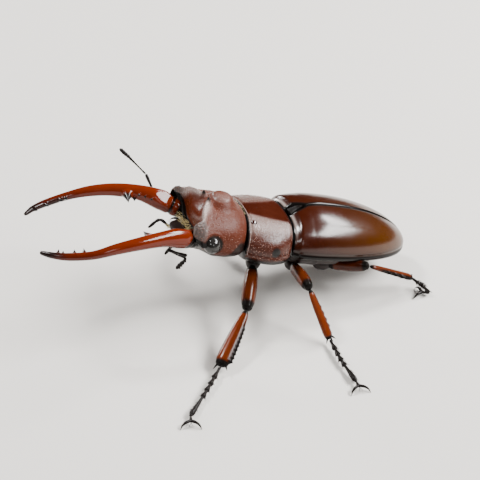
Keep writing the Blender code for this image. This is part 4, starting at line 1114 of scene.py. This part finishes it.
for name, span, bellies, steps in (("thorax", (1.0, 12.4), (-5.1, -5.1), (0.45, 0.98)),
                                   ("abdomen", (12.75, 26.4), (-4.7, -3.1), (0.2, 0.4, 0.6, 0.8, 0.99))):
    dress(skin(name + "_shell", BELLY_SHELL, *belly_rings(span, bellies, steps)), "underside_shell", name)

# %% [markdown]
# ## The legs
#
# A beetle's leg is the same chain every time: a hip half hidden in the body, a small trochanter,
# the thick thigh, the shin with a saw along its outer edge and spurs at its end, five foot joints
# and a pair of claws. One function for each piece builds all six from three joints and three
# places on the floor. The foot stands on the claw tips, so the floor places come first and the
# rest hangs between them and the hip.

# %% Joints and floor places
LEGS = {
    "fore_left": ((3.6, -5.3, -4.4), (13.8, -9.4, -8.4), (22.4, -16.3, -15.0),
                  (28.2, -20.9), (32.4, -24.7), (34.2, -25.2)),
    "fore_right": ((-3.6, -5.3, -4.4), (-13.0, -9.2, -5.6), (-18.2, -9.0, -12.8),
                   (-21.0, -8.9), (-24.2, -8.6), (-26.2, -8.4)),
    "mid_left": ((3.7, 2.9, -5.0), (15.2, 1.3, -2.5), (20.7, 5.7, -10.6),
                 (27.0, 5.8), (32.6, 6.1), (34.8, 6.0)),
    "mid_right": ((-3.7, 2.9, -5.0), (-13.0, 4.0, -2.9), (-17.2, 8.4, -10.6),
                  (-20.8, 9.8), (-24.4, 11.6), (-26.2, 12.6)),
    "hind_left": ((3.7, 9.6, -5.0), (9.9, 16.2, -1.3), (9.5, 27.1, -4.4),
                  (11.2, 29.6), (12.7, 29.9), (12.0, 28.8)),
    "hind_right": ((-3.7, 9.6, -5.0), (-11.2, 14.8, -2.6), (-12.4, 24.0, -5.4),
                   (-14.2, 27.2), (-15.8, 29.2), (-17.2, 30.6)),
}
# Hip length and thickness, thigh thickness and bow, where the thigh's lit side begins, shin
# thickness near the knee and the ankle, teeth on the shin with their span and length, and spur
LEG_SIZES = {
    "fore": (2.1, 1.5, 1.7, 0.25, -0.8, 0.9, 1.45, (9, 0.3, 0.92, 0.46), 1.7),
    "mid": (1.9, 1.3, 1.4, 0.2, -0.9, 0.68, 0.92, (4, 0.36, 0.78, 0.42), 1.2),
    "hind": (1.9, 1.25, 1.25, -0.1, -1.2, 0.62, 0.86, (3, 0.42, 0.76, 0.4), 1.1),
}
FOOT_HEIGHT, CLAW_REACH, CLAW_TURN, GAP = 0.8, 2.3, math.radians(54.0), 0.32
FOOT_JOINTS = (0.0, 0.16, 0.31, 0.45, 0.59, 1.0)
THIGH_STEPS, SHIN_STEPS, FOOT_STEPS = 150, 360, 240
# How far each spur of a shin leans outwards, and the reach of the foot of a saw tooth
SPUR_LEANS, SAW_FOOT = (-0.55, 0.15, 0.75), 0.7


def floor_point(x, y):
    """The standing point at foot height, right above or below a body place."""
    level = (y * math.sin(PITCH) - LIFT) / math.cos(PITCH)
    return np.array((*pitched((x, y, level))[:2], FOOT_HEIGHT))


def turned(vector, angle):
    """A vector turned about the upright."""
    c, s = math.cos(angle), math.sin(angle)
    return np.array((vector[0] * c - vector[1] * s, vector[0] * s + vector[1] * c, vector[2]))


def after_gap(end, radius_end, joint, along, radius_start):
    """Where the next piece starts beyond a joint, its round end clear of the last."""
    offset = joint - end
    b = offset @ along
    c = offset @ offset - (radius_end + radius_start + GAP) ** 2
    return joint + along * max(-b + math.sqrt(max(b * b - c, 0.0)), 0.0)


# %% Hip and thigh
def thigh(name, sizes, coxa, knee):
    """The hip as a spindle, and the trochanter and thigh as one waisted tube."""
    hip_length, hip_thick, thick, bow, lit = sizes
    along = unit(knee - coxa)
    turn = np.linspace(-0.97, 0.97, 30)[:, None]
    hip = np.concatenate((coxa + along * hip_length * turn, hip_thick * np.sqrt(1 - turn ** 2)), 1)
    limb("hip", name, [(hip, UP)])
    start = coxa + along * (hip_length + GAP + 0.363 * thick)
    end = knee - along * 0.5
    keys = []
    for back, width in ((1.05, 0.55), (0.62, 0.76), (0.26, 0.78)):
        keys.append((*(start - along * back), thick * width))
    for share, width in ((0.0, 0.86), (0.2, 0.94), (0.5, 1.0), (0.86, 0.9), (1.0, 0.7)):
        bowed = start * (1 - share) + end * share + (0, 0, bow * math.sin(math.pi * share))
        keys.append((*bowed, thick * width))
    path = smooth_path(keys, THIGH_STEPS)

    def reshape(points, place, axis, part):
        over = unit(points - axis)
        # The front and upper side keeps the main colour and the rear side is painted darker, as painted shade;
        # the hind thigh, in shade under the wing cases, is painted dark nearly all over
        shade = ease(lit, lit + 0.6, over[:, 1] - 0.2 * over[:, 2])
        notch = ease(0.93, 1.0, place) * ease(0.2, -0.6, over[:, 2])
        return axis + (points - axis) * (1 - 0.12 * notch)[:, None], {
            "dark": most(ease(0.86, 0.95, place), ease(0.17, 0.1, place)),
            "rear": np.clip(shade + 0.6 * ease(0.7, 0.95, place), 0, 1)}

    limb("thigh", name, [(path, UP)], reshape)
    return path


# %% Shin with its saw and spurs
def shin(name, sizes, knee, ankle, thigh_end):
    """A shin with its saw and spurs; returns where it ends, how thick, its path and its outer side."""
    thin, wide, (count, low, high, length), spur = sizes
    along = unit(ankle - knee)
    outer = unit(np.cross(along, UP))
    outer = outer if outer @ (0.4 if "left" in name else -0.4, 1, 0) > 0 else -outer
    over = np.cross(along, outer)
    start = after_gap(thigh_end[:3], 0.75 * thigh_end[3], knee, along, 0.75 * thin)
    end = ankle - along * wide * 0.6
    keys = [(*(thigh_end[:3] * 0.35 + start * 0.65), thin * 0.62), (*start, thin * 0.86)]
    for share, width in ((0.06, thin), (0.3, (thin + wide) / 2), (0.65, wide * 0.96),
                         (0.92, wide), (1.0, wide * 0.85)):
        keys.append((*(start * (1 - share) + end * share), width))
    path = smooth_path(keys, SHIN_STEPS)
    parts = [(path, outer)]
    for lean in SPUR_LEANS:
        aim = unit(along + outer * lean + over * 0.35 * math.copysign(1, lean))
        root = end + outer * lean * wide * 0.6
        tip = root + aim * spur
        tip[2] = max(tip[2], 0.15)
        bend = (root + tip) / 2 + (0, 0, 0.12)
        parts.append((rod((root - aim * 0.3, bend, tip), (0.3, 0.19, 0.03), 16), outer))

    def reshape(points, place, axis, part):
        main = part == 0
        new, dark = points.copy(), np.where(main, 0.0, 1.0)
        for share in np.arange(count) / (count - 1):
            centre = path[int((low + (high - low) * share) * (len(path) - 1))]
            new[main], push = push_tooth(new[main], axis[main], centre[:3], along, unit(outer + along * 0.55),
                                         length * (0.7 + 0.5 * share), SAW_FOOT)
            dark[main] = most(dark[main], ease(0.03, 0.4, push))
        side = (points - axis) @ outer / np.maximum(np.linalg.norm(points - axis, axis=1), 1e-6)
        edge = ease(0.62, 0.98, side) * ease(0.1, 0.3, place)
        dark = np.where(main, most(dark, edge, ease(0.94, 0.99, place), ease(0.05, 0.02, place)), dark)
        return new, {"dark": dark, "rear": 0.7 * ease(-0.5, 0.5, side)}

    limb("shin", name, parts, reshape)
    return end + along * wide * 0.44, 0.35 * wide + 0.25, path, outer


# %% Foot and claws
def foot(name, ankle, shin_end, room, places):
    """Five foot joints, then a pair of claws with two fine hairs on a pad between them."""
    middle, wrist, toe = (floor_point(*place) for place in places)
    start = after_gap(shin_end, room, ankle, unit(middle - ankle), 0.27)
    middle[2] += 0.35 * max(start[2] - FOOT_HEIGHT, 0.0)
    line = rod((start, middle, wrist), (0.0, 0.0, 0.0), FOOT_STEPS)
    share = joint_shares(FOOT_JOINTS, np.linspace(0, 1, FOOT_STEPS))
    line[:, 3] = 0.28 + 0.24 * ease(0.05, 0.85, share) - 0.22 * ease(0.88, 1.0, share)
    path = np.concatenate(([(*(shin_end * 0.6 + start * 0.4), 0.28)], line))
    limb("foot", name, [(path, UP)])

    last, heading = line[-1, :3], unit(toe - wrist)
    hub = last + heading * (0.4 * 1.4 + GAP + 0.4)
    hub[2] = FOOT_HEIGHT
    rods = [((last * 0.7 + hub * 0.3, hub, hub + heading * 0.2), (0.2, 0.34, 0.26), 14)]
    pad = hub + heading * 0.75 + (0, 0, 0.05)
    for side in (-1, 1):
        aim = turned(heading, side * CLAW_TURN)
        rise = hub + aim * CLAW_REACH * 0.5 + (0, 0, 0.12)
        bow, tip = hub + aim * CLAW_REACH * 0.82, hub + aim * CLAW_REACH + heading * CLAW_REACH * 0.1
        bow[2], tip[2] = 0.62, 0.06
        rods.append(((hub, rise, bow, tip), (0.3, 0.25, 0.17, 0.04), 34))
        hair = pad + turned(heading, side * 0.5) * 0.75 + (0, 0, -0.12)
        rods.append(((pad, (pad + hair) / 2 + (0, 0, 0.06), hair), (0.06, 0.045, 0.02), 8))
    rods.append(((hub + heading * 0.1, pad), (0.12, 0.09), 8))
    limb("claw_pair", name, [(rod(*each), UP) for each in rods])
    return path


# %% All legs
LEG_PATHS = {}
for name, (coxa, knee, ankle, *places) in LEGS.items():
    coxa, knee, ankle = pitched((coxa, knee, ankle))
    sizes = LEG_SIZES[name.split("_")[0]]
    thigh_path = thigh(name, sizes[:5], coxa, knee)
    shin_end, room, shin_path, outer = shin(name, sizes[5:], knee, ankle, thigh_path[-1])
    LEG_PATHS[name] = (shin_path, outer, foot(name, ankle, shin_end, room, places))

# %% [markdown]
# ## Granules on the head and the shield
#
# The sides of the head and of the shield are rough with tiny grains, each of which throws its own
# spark of light. They are scattered over the finished plates by Geometry Nodes, thickly where the
# stored mask says that the shell is rough and not at all where it is smooth or black. A grain is
# a little faceted ball half sunk in the shell, small enough that twenty faces are plenty.

# %% The granule tree
def granule_tree():
    tree, ins, outs = new_tree("granules on a shell", ("Per Square mm", "Float", 10.0),
                               ("Radius mm", "Float", 0.07), ("Seed", "Int", 7))
    density = maths(tree, "MULTIPLY", ins["Per Square mm"], MM ** -2)
    points = add_node(tree, "GeometryNodeDistributePointsOnFaces",
                      {"Mesh": ins["Geometry"], "Density Max": density, "Distance Min": 0.2 * MM,
                       "Density Factor": read_mark(tree, "granular"), "Seed": ins["Seed"]},
                      distribute_method="POISSON")
    grain = add_node(tree, "GeometryNodeMeshIcoSphere", {"Radius": 1.0, "Subdivisions": 1})
    size = add_node(tree, "FunctionNodeRandomValue", {2: 0.45, 3: 1.0, "Seed": ins["Seed"]}, data_type="FLOAT")
    size = maths(tree, "MULTIPLY", maths(tree, "MULTIPLY", size.outputs[1], ins["Radius mm"]), MM)
    grains = add_node(tree, "GeometryNodeInstanceOnPoints",
                      {"Points": points, "Instance": grain, "Scale": size,
                       "Rotation": points.outputs["Rotation"]})
    return finish_tree(tree, grains, ins, outs)


GRANULE_TREE = granule_tree()
GRANULE_FINISH, tree, shader = new_finish("granule shell", {"Roughness": 0.22})
drift = add_node(tree, "ShaderNodeGroup", {"Patch Size": 0.0004}, node_tree=SHELL_DRIFT)
feed(tree, shader, {"Base Color": mixed(tree, drift, (0.09, 0.022, 0.012), (0.36, 0.19, 0.145))})
for shell, name, slot, count, seed in ((HEAD, "head_granules", "head_shell", 8.0, 11),
                                       (SHIELD, "shield_granules", "pronotum_shell", 7.0, 23)):
    mesh = grown(shell.data, GRANULE_TREE, Per_Square_mm=count, Radius_mm=0.1, Seed=seed, Finish=GRANULE_FINISH)
    dress(as_piece(name, mesh, GRANULE_FINISH), slot)

# %% [markdown]
# ## Bristles
#
# Three kinds of hair finish the model: golden brushes at the mouth, a short pale fringe in the
# joint behind the head, and stiff black bristles on the feet and shins. They share one tree: a
# three-sided tapering bristle is set on each root point, turned to the direction stored there
# and scaled to its length. Each bristle then gets its own small patch in a second set of UVs,
# at the place of its root on an unwrap of the body.

# %% The bristle tree
BRISTLE_RINGS, BRISTLE_SIDES = 5, 3
# Size of a bristle's patch of UV, and the height in metres of the line that the unwrap turns round
PATCH, UNWRAP_HEIGHT = 0.003, 0.014


def bristle_tree():
    tree, ins, outs = new_tree("bristles on points", ("Width", "Float", 0.05), ("Bend", "Float", 0.2))
    line = add_node(tree, "GeometryNodeCurvePrimitiveLine", {"End": UP})
    line = add_node(tree, "GeometryNodeResampleCurve", {"Curve": line, "Count": BRISTLE_RINGS})
    share = add_node(tree, "GeometryNodeSplineParameter").outputs["Factor"]
    lean = maths(tree, "MULTIPLY", maths(tree, "POWER", share, 2.0), ins["Bend"])
    offset = add_node(tree, "ShaderNodeCombineXYZ", {"X": lean})
    line = add_node(tree, "GeometryNodeSetPosition", {"Geometry": line, "Offset": offset})
    thin = maths(tree, "MULTIPLY", maths(tree, "SUBTRACT", 1.05, share), ins["Width"])
    circle = add_node(tree, "GeometryNodeCurvePrimitiveCircle", {"Resolution": BRISTLE_SIDES, "Radius": 1.0})
    hair = add_node(tree, "GeometryNodeCurveToMesh",
                    {"Curve": line, "Profile Curve": circle, "Scale": thin, "Fill Caps": True})
    aim = read_mark(tree, "aim", "FLOAT_VECTOR")
    turn = add_node(tree, "FunctionNodeAlignRotationToVector", {"Vector": aim}, axis="Z")
    hairs = add_node(tree, "GeometryNodeInstanceOnPoints",
                     {"Points": ins["Geometry"], "Instance": hair, "Rotation": turn,
                      "Scale": read_mark(tree, "size")})
    return finish_tree(tree, hairs, ins, outs)


def hair_finish(name, root, tip):
    """Hair that drifts between two tones."""
    material, tree, shader = new_finish(name, {"Roughness": 0.35})
    cloud = pattern(tree, "Noise", Scale=1 / (0.5 * MM), Detail=2.0)
    feed(tree, shader, {"Base Color": mixed(tree, cloud, root, tip)})
    return material


BRISTLE_TREE = bristle_tree()
GOLDEN_HAIR = hair_finish("golden hair", (0.62, 0.46, 0.18), (0.95, 0.84, 0.5))
BLACK_HAIR = hair_finish("black bristle", (0.006, 0.005, 0.004), (0.02, 0.01, 0.006))


def bristles(name, hairs, finish, slot, width, bend):
    """Bristles from (standing root, aim, length in mm), as one solid mesh with its patches of UV."""
    roots, aims, sizes = (np.array(column) for column in zip(*hairs))
    roots = placed(roots, False)
    source = bpy.data.meshes.new(name)
    source.from_pydata([tuple(root) for root in roots], [], [])
    keep_mark(source, "size", sizes * MM)
    keep_mark(source, "aim", unit(aims), "FLOAT_VECTOR")
    mesh = grown(source, BRISTLE_TREE, Width=width, Bend=bend, Finish=finish)
    corner = np.empty(len(mesh.loops), dtype=np.int64)
    mesh.loops.foreach_get("vertex_index", corner)
    which, part = np.divmod(corner, len(mesh.vertices) // len(roots))
    turn = np.arctan2(roots[:, 0], roots[:, 2] - UNWRAP_HEIGHT) / (2 * np.pi) + 0.5
    height = (roots[:, 1] - cad_low[1]) / (cad_high[1] - cad_low[1])
    patch = np.stack((part % BRISTLE_SIDES / BRISTLE_SIDES, part // BRISTLE_SIDES / BRISTLE_RINGS), -1) * PATCH
    uv = np.clip(np.stack((turn, height), -1)[which] + patch, 0.0, 1.0)
    mesh.uv_layers.new(name="OFBake").data.foreach_set("uv", uv.astype(np.float32).ravel())
    dress(as_piece(name, mesh, finish), slot)


def stood_up(root, aim, size):
    """A hair of the body as a standing one."""
    return pitched(root), pitched(aim) - pitched(np.zeros(3)), size


# %% Golden brushes at the mouth
BRUSH_HAIRS, LIP_HAIRS, FRINGE_HAIRS, FRINGE_HALF_WIDTH, SHIN_HAIRS, LOWEST_TIP = 170, 120, 110, 7.5, 46, 0.12
rng = np.random.default_rng(41)
hairs = []
for k in range(BRUSH_HAIRS):
    side = rng.choice((-1, 1))
    root = (side * rng.uniform(0.4, 3.6), rng.uniform(-19.6, -18.4), rng.uniform(0.5, 1.7))
    aim = (side * rng.uniform(-0.3, 0.7), rng.uniform(-1.2, -0.7), rng.uniform(0.1, 0.9))
    hairs.append(stood_up(root, aim, rng.uniform(0.7, 1.6)))
for k in range(LIP_HAIRS):
    root = (rng.uniform(-2.2, 2.2), rng.uniform(-22.0, -20.4), 0.0)
    aim = (rng.uniform(-0.4, 0.4), -1.0, rng.uniform(-0.9, 0.1))
    hairs.append(stood_up(root, aim, rng.uniform(0.5, 1.1)))
bristles("mouth_brushes", hairs, GOLDEN_HAIR, "underside_shell", 0.055, 0.25)

# %% The pale fringe behind the head
hairs = []
_, neck_crown, neck_level, _, _ = head_at(NECK_Y)
for k in range(FRINGE_HAIRS):
    x = rng.uniform(-6.5, 2.2)
    back = 1.1 * (1 - (x / FRINGE_HALF_WIDTH) ** 2)
    root = (x, NECK_Y + back - 0.05, crown_line(x, FRINGE_HALF_WIDTH, neck_crown, neck_level) - 0.1)
    aim = (x * 0.05, 0.55, rng.uniform(0.4, 1.0))
    hairs.append(stood_up(root, aim, rng.uniform(0.22, 0.45)))
bristles("neck_fringe", hairs, GOLDEN_HAIR, "head_shell", 0.05, 0.3)

# %% Black bristles of the feet and shins
hairs = []
for shin_path, outer, foot_path in LEG_PATHS.values():
    along = unit(np.gradient(foot_path[:, :3], axis=0))
    for low, high in zip(FOOT_JOINTS, FOOT_JOINTS[1:]):
        count, start = (16, 0.5) if high < 1 else (26, 0.15)
        for k in range(count):
            at = low + (high - low) * rng.uniform(start, 0.95)
            i = int(at * (len(foot_path) - 1))
            angle = 2 * np.pi * (k + rng.uniform(-0.3, 0.3)) / 7
            across = unit(np.cross(along[i], UP))
            out = across * math.cos(angle) + np.cross(across, along[i]) * math.sin(angle)
            hairs.append((foot_path[i, :3] + out * foot_path[i, 3] * 0.7, out * 0.9 + along[i],
                          rng.uniform(0.45, 0.95)))
    axis = unit(shin_path[-1, :3] - shin_path[0, :3])
    for k in range(SHIN_HAIRS):
        i = int(rng.uniform(0.2, 0.96) * (len(shin_path) - 1))
        lean = unit(rng.choice((-1, 1)) * outer + rng.uniform(-0.8, 0.8) * np.cross(axis, outer))
        root = shin_path[i, :3] + lean * shin_path[i, 3] * 0.72
        hairs.append((root, lean * 0.7 + axis, rng.uniform(0.4, 0.8)))
clear = [(root, aim, size) for root, aim, size in hairs if root[2] + size * min(unit(aim)[2], 0) > LOWEST_TIP]
bristles("leg_bristles", clear, BLACK_HAIR, "dark_shell", 0.09, 0.2)

# %% [markdown]
# ## Floor, camera and light
#
# The model stands on a plain pale floor. A shell this glossy is mostly a picture of its lights, so
# they are large and soft and stand where the shine should fall: a wide panel high behind gives
# the broad patch on the wing cases and the bands on the jaws, and one next to it the patch on the
# shield. One on the left and one in front open the shadows, a low one on the right touches the
# far lobe of the head, and two small ones catch the front rim of the wing cases and the eye. The
# surrounding is dim, so the red stays deep between them.

# %% Floor and surrounding
FLOOR_FINISH, _, _ = new_finish("floor", {"Base Color": (0.65, 0.62, 0.58), "Roughness": 0.8})
bpy.ops.mesh.primitive_plane_add(size=3.0, location=(0, 0, 0))
floor = bpy.context.object
floor.name = "floor"
floor.data.materials.append(FLOOR_FINISH)

world = bpy.data.worlds.new("surrounding")
world.use_nodes = True
feed(world.node_tree, world.node_tree.nodes["Background"], {"Color": (0.93, 0.96, 1.0), "Strength": 0.03})
bpy.context.scene.world = world

# %% Soft lights
TARGET = Vector((0.0, 0.0, 0.014))
# Azimuth (0 in front, 90 on the left side) and height in degrees, distance, size and power
PANELS = {
    "panel behind": (160, 43, 0.55, (0.34, 0.15), 7.6),
    "panel aside": (201, 41, 0.5, (0.2, 0.07), 2.6),
    "panel beside": (93, 30, 0.5, (0.05, 0.16), 0.3),
    "panel in front": (-40, 56, 0.6, (0.1, 0.1), 3.6),
    "low panel": (-72, 13, 0.5, (0.16, 0.07), 1.8),
    "rim light": (39, 45, 0.5, (0.06, 0.06), 0.35),
    "front spark": (-16, 30, 0.4, (0.05, 0.05), 0.25),
}
for name, (azimuth, height, distance, size, power) in PANELS.items():
    a, h = math.radians(azimuth), math.radians(height)
    away = Vector((math.sin(a) * math.cos(h), -math.cos(a) * math.cos(h), math.sin(h)))
    light = bpy.data.lights.new(name, "AREA")
    light.shape, light.energy = "RECTANGLE", power
    light.size, light.size_y = size
    panel = bpy.data.objects.new(name, light)
    bpy.context.scene.collection.objects.link(panel)
    panel.location = TARGET + away * distance
    panel.rotation_euler = away.to_track_quat("Z", "Y").to_euler()

# %% Camera
camera = bpy.data.objects.new("camera", bpy.data.cameras.new("camera"))
bpy.context.scene.collection.objects.link(camera)
camera.data.lens, camera.data.sensor_width = 104.949, 36.0
camera.data.clip_start, camera.data.clip_end = 0.001, 10.0
camera.location = Vector((200.409, -78.324, 168.121)) * MM
camera.rotation_euler = [math.radians(turn) for turn in (54.553, -2.157, 70.293)]
bpy.context.scene.camera = camera
